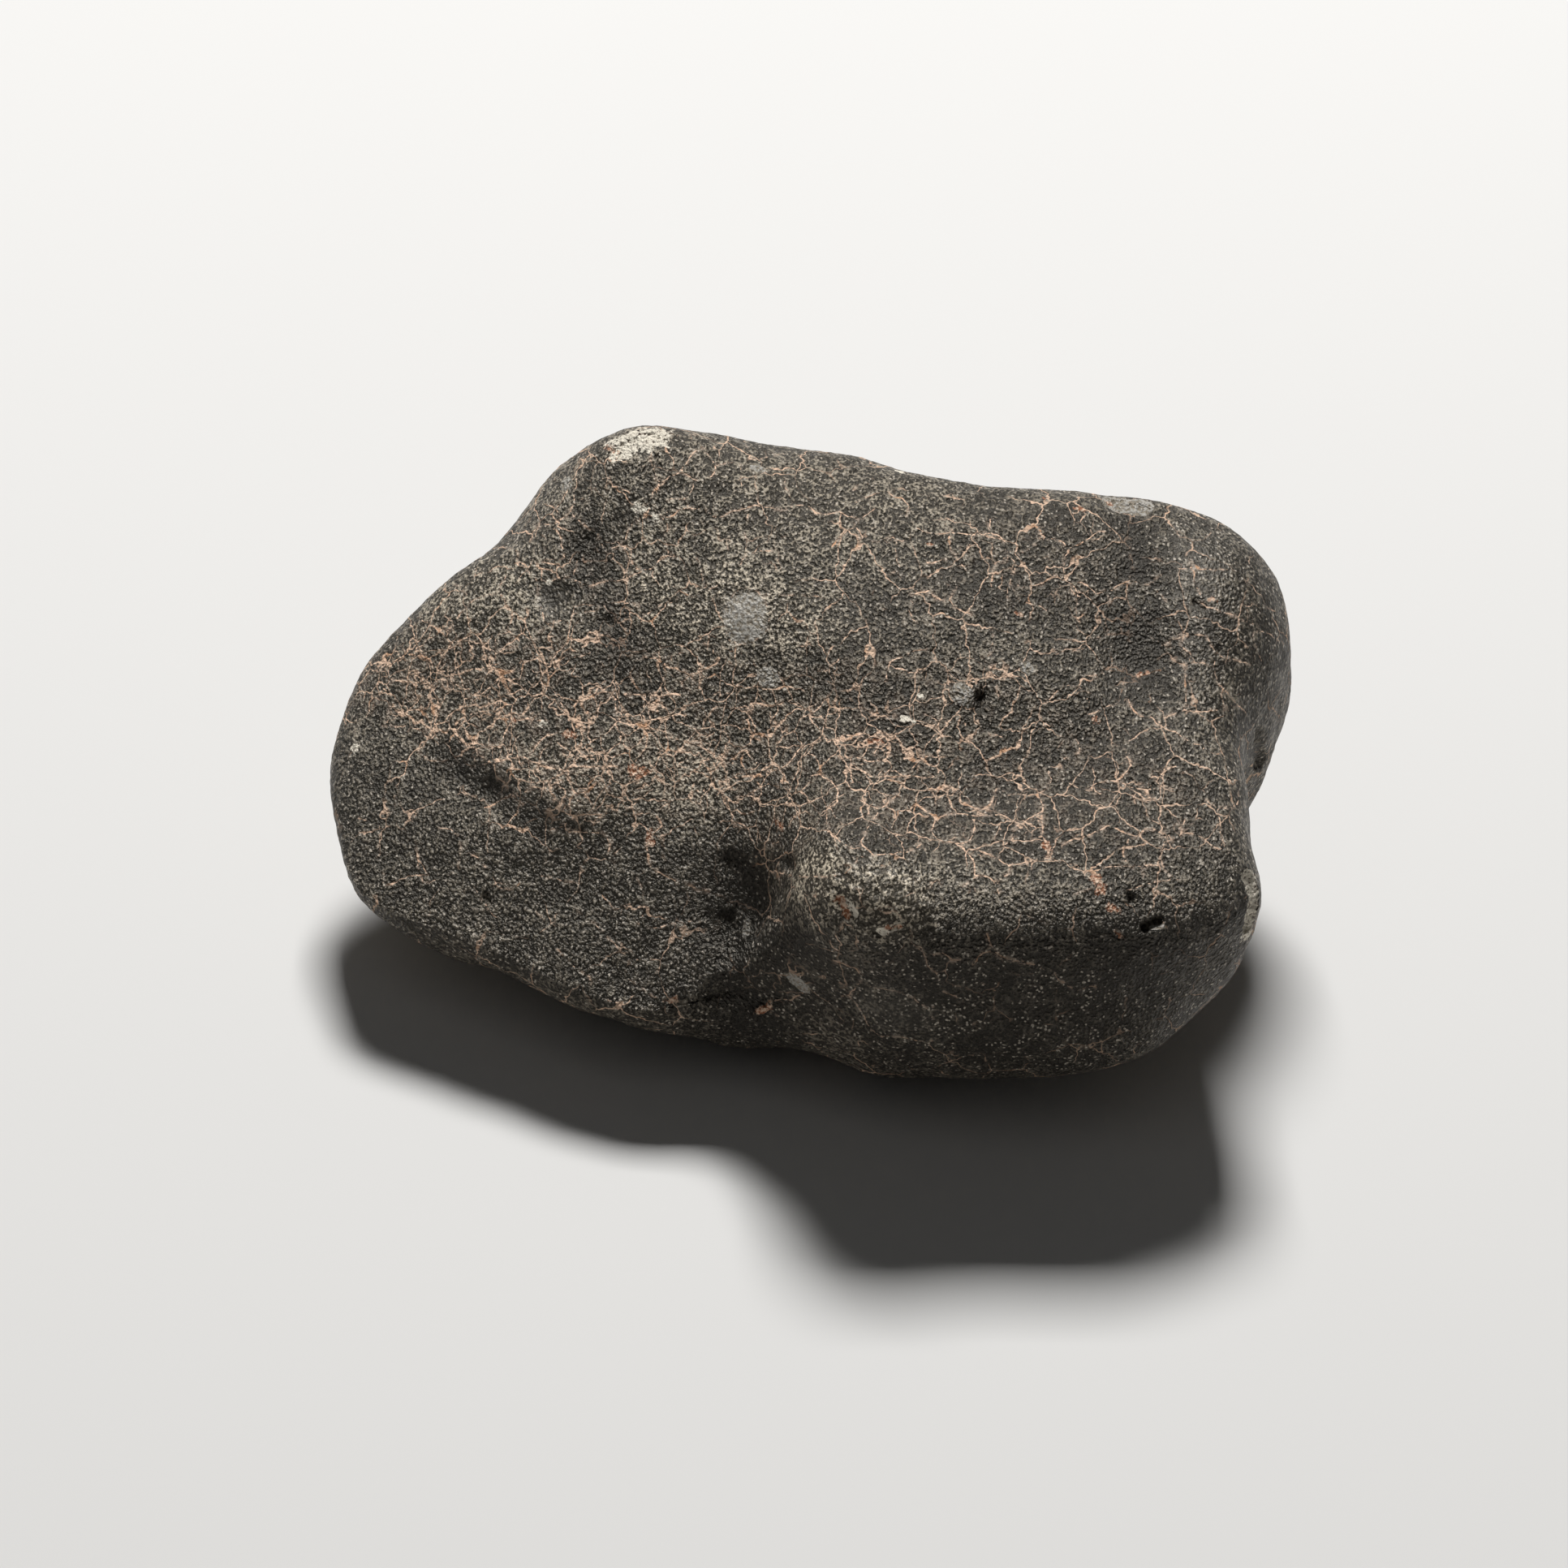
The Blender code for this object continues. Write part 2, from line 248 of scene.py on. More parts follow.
# The cracks that stand out most, by the part of the stone that they cross. Each is the pixels that it runs
# through, as x, y, x, y and so on.
WIDE_CRACKS = {
    "left brow": (
        (520, 764, 534, 772, 546, 782, 554, 790, 556, 796, 548, 806, 542, 816, 538, 826, 538, 838),
        (582, 740, 570, 752, 562, 764, 556, 774, 550, 778),
        (618, 732, 624, 744, 632, 755, 630, 768, 624, 776),
        (638, 690, 648, 698, 657, 710, 664, 718, 676, 717),
    ),
    "left basin": (
        (482, 837, 496, 840, 508, 840, 524, 842, 538, 838, 548, 836, 552, 830, 568, 830, 580, 824),
        (580, 824, 596, 826, 608, 824, 622, 828, 634, 826),
        (484, 868, 482, 880, 478, 888, 480, 895, 495, 896, 500, 894),
        (600, 880, 614, 884, 630, 888, 644, 880, 650, 872),
        (630, 888, 650, 886, 668, 888),
        (558, 900, 566, 908, 574, 918, 590, 916, 604, 920, 618, 920),
        (575, 942, 590, 944, 600, 940, 612, 938, 625, 936, 640, 932, 650, 934, 660, 940, 676, 946),
        (676, 946, 696, 948, 704, 944, 716, 944, 730, 944, 745, 944, 760, 944),
        (608, 938, 610, 950, 612, 958, 622, 966, 630, 976, 636, 984, 644, 992),
        (644, 976, 656, 970, 670, 972, 684, 964, 696, 960),
        (702, 968, 710, 978, 722, 976, 732, 966, 738, 960),
    ),
    "foot of the left slope": (
        (596, 996, 606, 993, 616, 986, 624, 982, 634, 982),
        (668, 1002, 680, 998, 694, 998, 706, 1006, 720, 1004, 738, 1005, 748, 1002),
        (676, 1024, 684, 1020, 694, 1018, 706, 1006),
        (694, 1018, 700, 1026, 714, 1024, 730, 1026, 742, 1026, 752, 1038, 748, 1050),
        (806, 1004, 812, 1010, 816, 1018, 806, 1026, 800, 1036, 796, 1042, 798, 1056, 802, 1068),
        (802, 1068, 812, 1075, 822, 1079, 832, 1086, 844, 1090, 856, 1094, 866, 1098, 878, 1098),
    ),
    "back left": (
        (656, 658, 664, 646, 680, 646, 690, 640, 702, 632, 714, 642, 724, 650, 736, 660, 742, 672),
        (742, 672, 748, 680, 758, 674, 768, 670, 774, 652, 780, 644, 790, 640, 796, 634, 804, 636),
        (804, 636, 816, 636, 822, 642, 822, 654, 820, 664, 824, 680, 832, 684),
        (768, 670, 774, 684, 780, 696, 788, 702, 800, 702, 808, 696, 816, 686, 832, 684),
        (676, 717, 690, 712, 704, 712, 718, 720, 730, 722, 742, 716, 756, 716, 772, 712, 792, 704),
        (814, 596, 824, 588, 836, 582, 846, 570, 852, 560, 866, 550, 870, 556, 878, 568, 882, 578),
        (882, 578, 878, 586, 868, 592, 856, 592, 840, 582),
        (804, 558, 802, 568, 806, 582, 808, 592, 814, 596, 806, 604, 802, 612, 806, 618),
    ),
    "across the plateau": (
        (822, 642, 828, 634, 838, 628, 850, 626, 864, 626, 874, 632, 880, 640, 890, 636, 902, 630),
        (902, 630, 914, 628, 924, 624, 934, 622, 950, 626, 962, 628, 976, 624, 986, 622, 998, 624),
        (998, 624, 1004, 632, 1018, 633, 1034, 631, 1050, 638, 1060, 638, 1070, 634, 1078, 626),
        (1054, 619, 1066, 614, 1080, 608, 1094, 605, 1100, 612, 1112, 614, 1120, 624, 1116, 636),
        (1024, 676, 1028, 668, 1034, 662, 1044, 654, 1054, 648, 1060, 658, 1066, 666, 1076, 668),
    ),
    "foot of the bulge": (
        (786, 810, 800, 811, 810, 812, 820, 820, 834, 824, 846, 830, 856, 832, 860, 828, 874, 822),
        (874, 822, 884, 818, 888, 810, 896, 812, 904, 820, 910, 820),
        (740, 782, 750, 784, 760, 792, 764, 800, 774, 810),
        (720, 862, 730, 856, 744, 852, 754, 854, 758, 862, 760, 876, 764, 890),
        (764, 890, 776, 894, 788, 892, 796, 888, 808, 886, 820, 884, 832, 880, 844, 882),
        (770, 856, 784, 856, 796, 854, 806, 856, 812, 860, 820, 856, 830, 854, 840, 856),
        (796, 854, 794, 868, 792, 880, 796, 888, 794, 900, 798, 908, 796, 920, 788, 932, 782, 940),
    ),
    "central basin": (
        (826, 908, 838, 912, 850, 916, 860, 916, 868, 924, 880, 930, 888, 934, 896, 944, 898, 956),
        (898, 956, 898, 968, 890, 974, 884, 980),
        (898, 958, 912, 958, 926, 956, 940, 954, 956, 948, 966, 946, 974, 938, 982, 926, 990, 918),
        (904, 934, 912, 926, 918, 924, 926, 934, 932, 940),
        (920, 876, 926, 866, 936, 868, 950, 870, 960, 868, 970, 864, 980, 868, 992, 872, 1000, 878),
        (920, 882, 922, 892, 924, 900, 928, 908, 936, 912),
        (1000, 956, 1010, 954, 1020, 960, 1030, 968, 1032, 976, 1032, 990, 1020, 994, 1018, 1006),
        (1018, 1006, 1020, 1020, 1026, 1030, 1040, 1040, 1052, 1046),
        (1030, 930, 1044, 934, 1056, 932, 1070, 938, 1084, 936),
        (1048, 946, 1060, 948, 1072, 956, 1088, 957, 1104, 957, 1120, 956, 1136, 958, 1150, 958),
        (1060, 868, 1072, 878, 1082, 883, 1094, 882, 1110, 882, 1120, 886),
    ),
    "front of the basin": (
        (1060, 986, 1070, 992, 1080, 997, 1086, 998, 1094, 988, 1106, 980),
        (1086, 998, 1078, 1006, 1072, 1016, 1066, 1026, 1062, 1036, 1064, 1042),
        (1052, 1046, 1064, 1043, 1072, 1050, 1078, 1054, 1092, 1053, 1104, 1051, 1120, 1050),
        (1120, 1050, 1132, 1042, 1144, 1036, 1152, 1033, 1160, 1036, 1174, 1038, 1186, 1040),
        (1152, 1033, 1148, 1024, 1152, 1014, 1154, 1008, 1148, 1004, 1140, 998, 1128, 990),
        (1154, 1008, 1166, 1004, 1180, 1002, 1192, 1005, 1206, 1005, 1220, 1003, 1232, 1004),
        (1232, 1004, 1240, 1006, 1248, 1012, 1258, 1020, 1264, 1010, 1276, 1005, 1284, 1000),
        (1186, 1040, 1196, 1034, 1200, 1028, 1200, 1014, 1200, 1006),
        (1186, 1040, 1190, 1048, 1198, 1058, 1200, 1070, 1202, 1080),
        (1184, 1092, 1192, 1088, 1202, 1080, 1214, 1079, 1222, 1082, 1228, 1090, 1230, 1100),
        (1204, 1046, 1214, 1052, 1226, 1056, 1234, 1048, 1240, 1040, 1246, 1034, 1262, 1037),
        (1226, 1056, 1234, 1062, 1246, 1066, 1260, 1064, 1272, 1060, 1286, 1058, 1296, 1056),
        (1246, 1066, 1244, 1074, 1236, 1080, 1228, 1088),
        (1248, 1012, 1250, 1024, 1246, 1034),
        (1262, 1037, 1276, 1034, 1284, 1030, 1290, 1040, 1292, 1050),
        (1182, 978, 1184, 990, 1192, 992, 1204, 996, 1212, 997, 1222, 990, 1226, 980, 1228, 970),
        (1276, 980, 1282, 986, 1286, 994, 1284, 1000, 1284, 1014, 1284, 1030),
    ),
    "right basin": (
        (1340, 972, 1350, 966, 1364, 962, 1380, 964, 1392, 970, 1404, 972, 1414, 974, 1424, 966),
        (1424, 966, 1428, 956, 1438, 948, 1448, 944),
        (1424, 970, 1436, 971, 1448, 972),
        (1388, 932, 1394, 940, 1390, 950, 1382, 956, 1376, 962),
        (1360, 1018, 1370, 1018, 1380, 1024, 1392, 1029, 1402, 1030, 1410, 1022, 1420, 1020),
        (1420, 1020, 1426, 1026, 1436, 1028),
        (1360, 1020, 1346, 1026, 1332, 1032, 1320, 1035, 1310, 1040),
        (1394, 1030, 1388, 1040, 1382, 1046, 1384, 1056),
        (1438, 1034, 1446, 1036, 1454, 1028, 1458, 1016, 1460, 1010),
        (1454, 1028, 1466, 1026, 1478, 1030, 1488, 1038, 1500, 1046, 1506, 1044),
        (1434, 1034, 1432, 1046, 1430, 1056, 1432, 1066, 1440, 1078),
        (1338, 1076, 1348, 1073, 1362, 1069, 1376, 1067, 1390, 1067, 1404, 1068, 1416, 1065, 1428, 1066),
        (1390, 862, 1396, 876, 1404, 882, 1418, 884, 1426, 892, 1434, 886, 1442, 880, 1456, 878),
        (1456, 878, 1460, 872, 1470, 876, 1486, 877, 1500, 875),
        (1426, 892, 1436, 898, 1448, 902, 1458, 910, 1468, 916, 1478, 918),
    ),
    "back right": (
        (1130, 650, 1140, 655, 1150, 658, 1164, 657, 1174, 656, 1190, 658, 1202, 658, 1210, 660),
        (1210, 660, 1218, 654, 1220, 648, 1220, 640),
        (1174, 640, 1174, 656, 1168, 664, 1170, 674, 1174, 680, 1168, 688, 1154, 692, 1140, 694),
        (1220, 656, 1230, 660, 1240, 668, 1240, 680, 1236, 690, 1224, 696),
        (1260, 724, 1264, 722, 1280, 721, 1290, 714, 1300, 711, 1312, 711, 1318, 715, 1326, 718),
        (1326, 718, 1336, 719, 1342, 724, 1350, 732, 1362, 730, 1374, 724, 1388, 716, 1396, 714),
        (1312, 711, 1310, 702, 1312, 690, 1316, 676, 1310, 668, 1302, 664, 1288, 662, 1282, 658),
        (1282, 658, 1280, 650, 1274, 648),
        (1318, 715, 1320, 726, 1324, 734, 1334, 736),
        (1120, 732, 1132, 730, 1144, 728),
        (1150, 734, 1156, 738, 1170, 740, 1176, 748, 1186, 754, 1196, 757),
        (1340, 833, 1352, 832),
        (1394, 834, 1404, 831, 1414, 828, 1430, 826),
    ),
    "right shoulder": (
        (1434, 798, 1440, 792, 1448, 788, 1458, 784, 1474, 782, 1488, 784, 1490, 792, 1496, 802),
        (1496, 802, 1504, 808, 1516, 812, 1528, 815, 1540, 818),
        (1440, 808, 1448, 815, 1458, 818, 1462, 820, 1474, 816, 1484, 818, 1494, 822),
        (1476, 742, 1486, 747, 1498, 750, 1508, 755, 1520, 757, 1526, 762),
        (1486, 986, 1496, 994, 1508, 996, 1520, 994, 1526, 986),
    ),
    "front wall": (
        (948, 1073, 960, 1075, 972, 1078, 984, 1080, 1000, 1081, 1016, 1080, 1030, 1078),
        (1216, 1152, 1220, 1162, 1224, 1170, 1232, 1178, 1242, 1182, 1256, 1184, 1266, 1186, 1276, 1188),
        (1224, 1170, 1214, 1174, 1204, 1180, 1200, 1188),
        (1148, 1176, 1158, 1174, 1168, 1178, 1174, 1184, 1182, 1183),
        (928, 1250, 932, 1244, 942, 1240, 946, 1234, 960, 1232, 974, 1232, 986, 1226, 996, 1220),
        (1026, 1182, 1040, 1188, 1054, 1194, 1062, 1202, 1058, 1212, 1046, 1226, 1036, 1228),
        (1376, 1146, 1384, 1156),
    ),
}

# The finer cracks, in the same way.
FINE_CRACKS = {
    "left brow": (
        (605, 676, 620, 674, 637, 678, 638, 690),
        (638, 690, 628, 702, 622, 712, 616, 722, 618, 732),
        (560, 720, 566, 722, 574, 732, 582, 740, 595, 734, 610, 733, 618, 732),
        (556, 790, 568, 790, 576, 784, 590, 782),
        (504, 806, 518, 808, 530, 814, 538, 826),
        (502, 824, 504, 834, 508, 840, 512, 846, 512, 856, 520, 858, 512, 862, 500, 866),
        (544, 826, 552, 830, 556, 840, 566, 848, 578, 848, 582, 858, 590, 858, 600, 850, 610, 840),
        (610, 840, 622, 828),
        (624, 776, 612, 782, 608, 794),
        (624, 776, 638, 788, 644, 796, 650, 800, 660, 806, 668, 816, 682, 820, 694, 820, 704, 810),
        (704, 810, 718, 808, 728, 804),
        (644, 798, 630, 796, 618, 802, 606, 804, 598, 808, 598, 818, 602, 824),
        (664, 718, 662, 730, 662, 740, 668, 752, 670, 764, 672, 772, 664, 778, 656, 790, 650, 798),
        (672, 772, 684, 768, 694, 762, 700, 768),
    ),
    "back left": (
        (656, 610, 668, 620, 680, 624, 688, 632),
        (704, 632, 706, 620, 718, 615, 728, 606),
        (680, 650, 688, 656, 692, 668, 694, 682, 698, 690),
        (706, 620, 708, 606, 710, 596, 710, 588),
        (704, 712, 710, 700, 712, 690),
        (740, 590, 752, 588, 754, 598, 764, 602, 776, 606, 778, 616),
        (856, 592, 852, 604, 842, 616, 830, 614, 818, 618, 804, 622, 792, 628, 780, 624),
        (882, 574, 896, 570, 912, 570, 922, 566, 924, 560, 922, 552, 916, 544, 918, 540),
        (922, 566, 936, 566, 950, 562, 962, 560, 970, 552, 976, 558, 988, 562),
        (912, 570, 912, 584, 914, 598),
        (966, 582, 968, 600, 974, 612, 978, 618),
        (922, 626, 920, 640, 918, 656, 920, 668, 918, 680, 912, 696),
        (920, 684, 932, 680, 946, 678, 958, 678),
        (800, 702, 806, 714, 812, 720),
        (858, 688, 862, 692, 864, 706, 866, 720),
        (705, 756, 720, 754, 732, 752),
        (742, 746, 752, 754, 760, 758),
        (796, 758, 808, 750, 818, 744, 830, 742),
        (770, 744, 784, 744, 790, 744, 786, 752, 794, 758, 790, 766),
        (830, 724, 840, 730, 856, 738, 862, 732, 876, 726, 884, 720),
    ),
    "round the grey grain": (
        (898, 740, 904, 732, 912, 726, 922, 724, 934, 730, 942, 738, 946, 748, 948, 762, 946, 774),
        (946, 774, 938, 784, 928, 790, 914, 794, 902, 792, 894, 780, 892, 764, 894, 750, 898, 740),
        (944, 733, 956, 734, 970, 733, 990, 734, 1004, 735, 1014, 736),
        (884, 818, 880, 802, 872, 796, 866, 790, 862, 784),
        (820, 820, 824, 810, 836, 806, 850, 803, 862, 800),
        (856, 832, 854, 842, 856, 850),
    ),
    "left basin": (
        (462, 900, 470, 894, 480, 895),
        (520, 894, 532, 890, 540, 898),
        (524, 898, 526, 905, 514, 914, 514, 922, 518, 930, 530, 937, 545, 938, 556, 936),
        (558, 900, 562, 890, 572, 884, 586, 878, 600, 876),
        (578, 918, 586, 930, 598, 934, 612, 938, 618, 928, 618, 920, 620, 908, 628, 892),
        (696, 948, 698, 956, 702, 968),
        (704, 944, 708, 934, 716, 926, 722, 930),
        (650, 934, 662, 918, 670, 908, 684, 903, 700, 905),
        (700, 998, 694, 990, 686, 986, 680, 984),
        (610, 852, 628, 856, 640, 850, 654, 846, 664, 842, 678, 846, 686, 856, 692, 868, 698, 876),
        (760, 998, 774, 996, 784, 990, 788, 984),
        (772, 1002, 784, 1004, 798, 1002),
    ),
    "front left": (
        (442, 1008, 450, 1010, 456, 1014),
        (522, 986, 516, 992, 512, 1004, 508, 1014),
        (466, 1048, 468, 1030, 468, 1018),
        (540, 1020, 556, 1022, 566, 1030, 568, 1044, 566, 1058, 564, 1070),
        (582, 1052, 594, 1062, 602, 1070, 608, 1080, 612, 1090, 620, 1096, 632, 1095, 640, 1088),
        (512, 1038, 516, 1052, 514, 1062, 518, 1074, 520, 1086, 530, 1088, 536, 1084, 548, 1082),
        (584, 1092, 590, 1102, 596, 1112, 602, 1120, 612, 1130),
        (666, 1080, 680, 1082, 696, 1085, 716, 1088),
        (660, 1124, 672, 1134, 684, 1140),
        (684, 1168, 690, 1174, 694, 1182, 700, 1184),
        (706, 1190, 714, 1196, 724, 1202, 728, 1212),
        (740, 1102, 750, 1112, 758, 1120, 770, 1116, 778, 1112),
        (710, 1122, 720, 1126, 730, 1136, 740, 1146, 750, 1156, 758, 1164, 766, 1172, 774, 1181),
        (788, 1182, 774, 1181, 772, 1194, 774, 1206, 782, 1212, 794, 1220, 806, 1228, 818, 1234),
        (786, 1082, 790, 1094, 792, 1104),
        (878, 1098, 890, 1106, 900, 1114, 912, 1118),
        (786, 1138, 796, 1142, 808, 1144, 820, 1140),
        (826, 1138, 838, 1137, 850, 1135, 862, 1136),
        (748, 1232, 758, 1236, 770, 1234),
    ),
    "central basin": (
        (860, 938, 872, 936, 886, 934),
        (860, 916, 870, 910, 880, 902, 888, 900),
        (908, 982, 920, 982, 930, 974, 936, 970, 946, 966, 960, 970, 974, 972),
        (940, 954, 942, 966),
        (880, 856, 890, 852, 900, 854),
        (914, 886, 920, 882, 928, 876),
        (956, 1006, 960, 1018, 962, 1030, 960, 1036),
        (960, 1036, 950, 1040, 940, 1046, 930, 1056),
        (1004, 828, 1018, 826, 1026, 820, 1034, 812),
        (1042, 906, 1056, 906, 1066, 908),
        (1076, 930, 1082, 920, 1084, 910, 1090, 902),
        (1124, 946, 1134, 938, 1144, 930, 1156, 933, 1164, 933),
        (1140, 880, 1150, 884, 1156, 890, 1150, 895),
        (1186, 912, 1196, 910, 1208, 909, 1218, 904, 1230, 906, 1242, 912),
        (1082, 702, 1094, 709, 1104, 704, 1110, 712),
    ),
    "right of the bulge": (
        (1076, 668, 1088, 666, 1100, 672, 1104, 678, 1106, 690, 1108, 698),
        (1088, 666, 1096, 660, 1110, 668, 1120, 664),
        (1126, 744, 1120, 752, 1124, 762, 1130, 768),
        (1148, 800, 1150, 810, 1156, 818, 1166, 818),
        (1096, 816, 1100, 814, 1114, 808, 1126, 802, 1140, 800),
        (1090, 840, 1094, 826, 1096, 816),
        (1168, 740, 1174, 730, 1180, 722),
        (1174, 680, 1180, 690, 1186, 698),
        (1188, 680, 1192, 674, 1198, 670),
        (1222, 776, 1224, 790, 1222, 800, 1218, 808, 1210, 810),
        (1220, 820, 1224, 835, 1228, 848, 1230, 858),
        (1222, 724, 1222, 712, 1224, 700, 1228, 690),
        (1240, 680, 1248, 690, 1252, 700, 1246, 712, 1242, 728, 1240, 740),
    ),
    "back right": (
        (1316, 676, 1326, 672, 1340, 664, 1352, 656, 1372, 653),
        (1264, 742, 1272, 745, 1284, 748, 1292, 754),
        (1260, 680, 1268, 676, 1276, 670),
        (1326, 745, 1326, 758, 1330, 766),
        (1366, 732, 1370, 742, 1364, 746),
        (1396, 714, 1408, 720, 1420, 721, 1424, 728, 1432, 734, 1438, 742),
        (1420, 716, 1428, 710, 1434, 706),
        (1394, 664, 1392, 676, 1394, 690, 1396, 704),
        (1336, 790, 1342, 788, 1356, 784, 1368, 782, 1382, 780),
        (1300, 806, 1306, 804, 1320, 802, 1335, 800),
        (1366, 826, 1380, 826, 1390, 829),
        (1370, 806, 1370, 818),
        (1386, 830, 1384, 842, 1380, 856, 1376, 866, 1366, 870, 1352, 876, 1340, 880),
        (1284, 868, 1294, 862, 1300, 854, 1308, 846, 1322, 843, 1336, 850, 1340, 862),
        (1280, 880, 1288, 892, 1296, 896),
        (1310, 935, 1322, 933, 1330, 928, 1330, 914, 1322, 906),
    ),
    "right shoulder": (
        (1420, 784, 1428, 790, 1434, 798, 1440, 808),
        (1450, 764, 1456, 774, 1460, 784),
        (1448, 788, 1456, 796, 1464, 804, 1472, 814),
        (1462, 820, 1460, 834, 1460, 848, 1462, 858, 1460, 872),
        (1496, 802, 1496, 816, 1496, 828, 1500, 840, 1508, 850, 1516, 858, 1524, 868, 1536, 878),
        (1500, 840, 1504, 852, 1508, 866, 1506, 876),
        (1500, 875, 1514, 876),
        (1526, 762, 1526, 776),
        (1526, 762, 1540, 768, 1550, 770),
        (1530, 744, 1540, 748, 1544, 742, 1552, 748, 1562, 748, 1572, 754),
        (1544, 780, 1552, 778, 1562, 780, 1570, 786, 1578, 790, 1584, 796),
        (1544, 780, 1546, 792, 1550, 804, 1554, 814),
        (1450, 701, 1464, 700, 1480, 701, 1500, 702, 1516, 702, 1526, 698),
        (1466, 684, 1470, 700, 1470, 714, 1476, 726, 1480, 736),
        (1500, 996, 1504, 1010, 1504, 1024, 1506, 1034, 1512, 1046, 1518, 1058),
        (1530, 985, 1536, 996, 1542, 1000),
        (1526, 986, 1526, 975),
        (1486, 925, 1496, 930, 1506, 926),
    ),
    "right basin": (
        (1366, 908, 1372, 916, 1384, 922),
        (1316, 964, 1326, 970, 1338, 974, 1350, 974, 1358, 980),
        (1404, 972, 1396, 982, 1400, 996),
        (1414, 974, 1414, 982, 1424, 984),
        (1404, 1068, 1410, 1078),
        (1384, 1096, 1396, 1096, 1408, 1090, 1424, 1086, 1440, 1086, 1452, 1084),
        (1320, 1104, 1334, 1098, 1346, 1096),
        (1296, 1056, 1306, 1062, 1318, 1066, 1330, 1066),
        (1240, 980, 1256, 978, 1268, 980, 1280, 978, 1292, 970),
        (1292, 970, 1296, 960, 1292, 950, 1286, 942),
    ),
    "front wall": (
        (974, 1082, 976, 1092, 970, 1106),
        (1040, 1076, 1052, 1066, 1058, 1060),
        (944, 1240, 950, 1248, 960, 1252),
        (1046, 1226, 1054, 1236, 1062, 1248, 1068, 1260, 1074, 1270),
        (1078, 1217, 1090, 1219, 1104, 1221, 1116, 1226, 1126, 1230, 1134, 1238, 1142, 1242),
        (1152, 1240, 1142, 1242, 1148, 1252, 1154, 1260),
        (1074, 1270, 1084, 1276, 1098, 1277, 1112, 1278, 1124, 1281, 1136, 1283, 1150, 1282),
        (1126, 1164, 1136, 1172, 1140, 1178, 1144, 1190, 1152, 1198, 1158, 1206),
        (1296, 1196, 1304, 1208, 1316, 1214, 1324, 1220, 1334, 1219, 1344, 1215, 1354, 1218),
        (1162, 1222, 1174, 1226, 1186, 1234),
        (1210, 1212, 1218, 1216, 1226, 1220),
    ),
}

# How wide the two kinds of crack are drawn. That is times PLAIN_SHARE where the crust isn't crazed at all,
# and times CRAZED_SHARE more for each 1 of its crazing.
WIDE_WIDTH = 1.0
FINE_WIDTH = 0.68
PLAIN_SHARE = 0.45
CRAZED_SHARE = 0.32

# A traced crack is laid on the stone in short spans of SPAN_PX pixels. A span longer than LONGEST_SPAN mm
# jumps from one form to another and is left out. The way to a crack is kept up to REACH mm from it, and FAR
# stands for anything farther.
SPAN_PX = 3.0
LONGEST_SPAN = 0.45
REACH = 1.5
FAR = 9.0

# Nets of finer cracks that cover the crust: the size of their cells and the half width of their lines in mm,
# how crazed the crust must be before they show, and how strongly they show.
NETS = (
    (3.2, 0.046, 0.56, 0.90),
    (1.7, 0.042, 0.74, 0.85),
    (0.9, 0.036, 0.92, 0.70),
)

# The mesh: the sizes of its lumps, knobs and grains in mm, and the knobs' height as a share of the lumps'.
LUMP_SIZE = 2.2
KNOB_SIZE = 1.1
GRAIN_SIZE = 0.42
KNOB_SHARE = 0.5

# A mark in the relief is uneven out to this many radii, by up to this share of its radius, in grains this
# size in mm. An area of the crust fades out at this many radii, this squarely.
RAGGED_REACH = 1.6
RAGGED_AMOUNT = 0.30
RAGGED_GRAIN = 0.5
AREA_SPREAD = 1.5
AREA_SQUARENESS = 3

# The roughness is kept in steps of a tenth. Points nearer than SAME_PLACE are one point. LEAST_SQUARE keeps
# a division by a squared length safe. A surface counts as seen if the part of its direction that points to
# the camera is over EDGE_ON.
STEPS_TO_ONE = 10
ROUGHNESS_STEPS = 14
SAME_PLACE = 0.001 * MM
LEAST_SQUARE = 1e-12
EDGE_ON = 0.02

# The finish follows noises, from 0 to 1, and cells, given by how many there are to a millimetre. They are
# somewhat longer along y, so that they look even from the camera, which sees the top at a slant.
NOISE_MIDDLE = 0.5
STRETCH = (1.0, 0.70, 1.0)
FINE_NOISE = 5.0
MEDIUM_NOISE = 1.3
BROAD_NOISE = 0.22
GRAIN_CELLS = 4.2
WIDTH_NOISE = 0.9
EDGE_NOISE = 1.9
DUST_NOISE = 2.6
CRAZING_NOISE = 0.30
BEND_NOISE = 0.35
KINK_NOISE = 1.8

# How far a crack is bent and kinked, in mm.
NET_BEND = 1.6
NET_KINK = 0.45
TRACE_KINK = 0.30

# How a noise or another value turns into a share or a factor: the two ends of the value and, where the share
# doesn't run from 0 to 1, what it is at each end.
FINE_LIGHT = (0.42, 0.60)
MEDIUM_LIGHT = (0.35, 0.70, -0.38, 0.30)
BROAD_LIGHT = (0.3, 0.7, -0.20, 0.20)
CELL_SHADE = (0.25, 0.60, 0, 0.35)
FLECK_CORE = (0.38, 0.22)
FLECK_PICKED = (0.60, 0.74, 0, 0.9)
CRACK_WIDTH = (0.3, 0.72, 0.55, 1.5)
NET_WHOLE = (0.34, 0.46)
TRACE_LINE = (0.095, 0.06)
TRACE_NEAR = (0.42 * REACH, 0.26 * REACH)
DUST_BESIDE = (0.45, 0.05, 0, 0.5)
DUST_SPOTS = (0.48, 0.60)
STAIN_CRAZED = (0.5, 1.2, 0, 0.45)
STAIN_SPOTS = (0.42, 0.66)
VEIN_ORANGE = (0.58, 0.72)
VEIN_SHADE = (0.2, 1.0, 0.4, 1.0)
GREY_GRAIN = (0.42, 0.56)
GREY_PATCH = (0.0, 0.15, 0, 0.85)
DARK_PATCH = (0.0, 0.6, 0, 0.75)
CREAM_GRAIN = (0.28, 0.46)
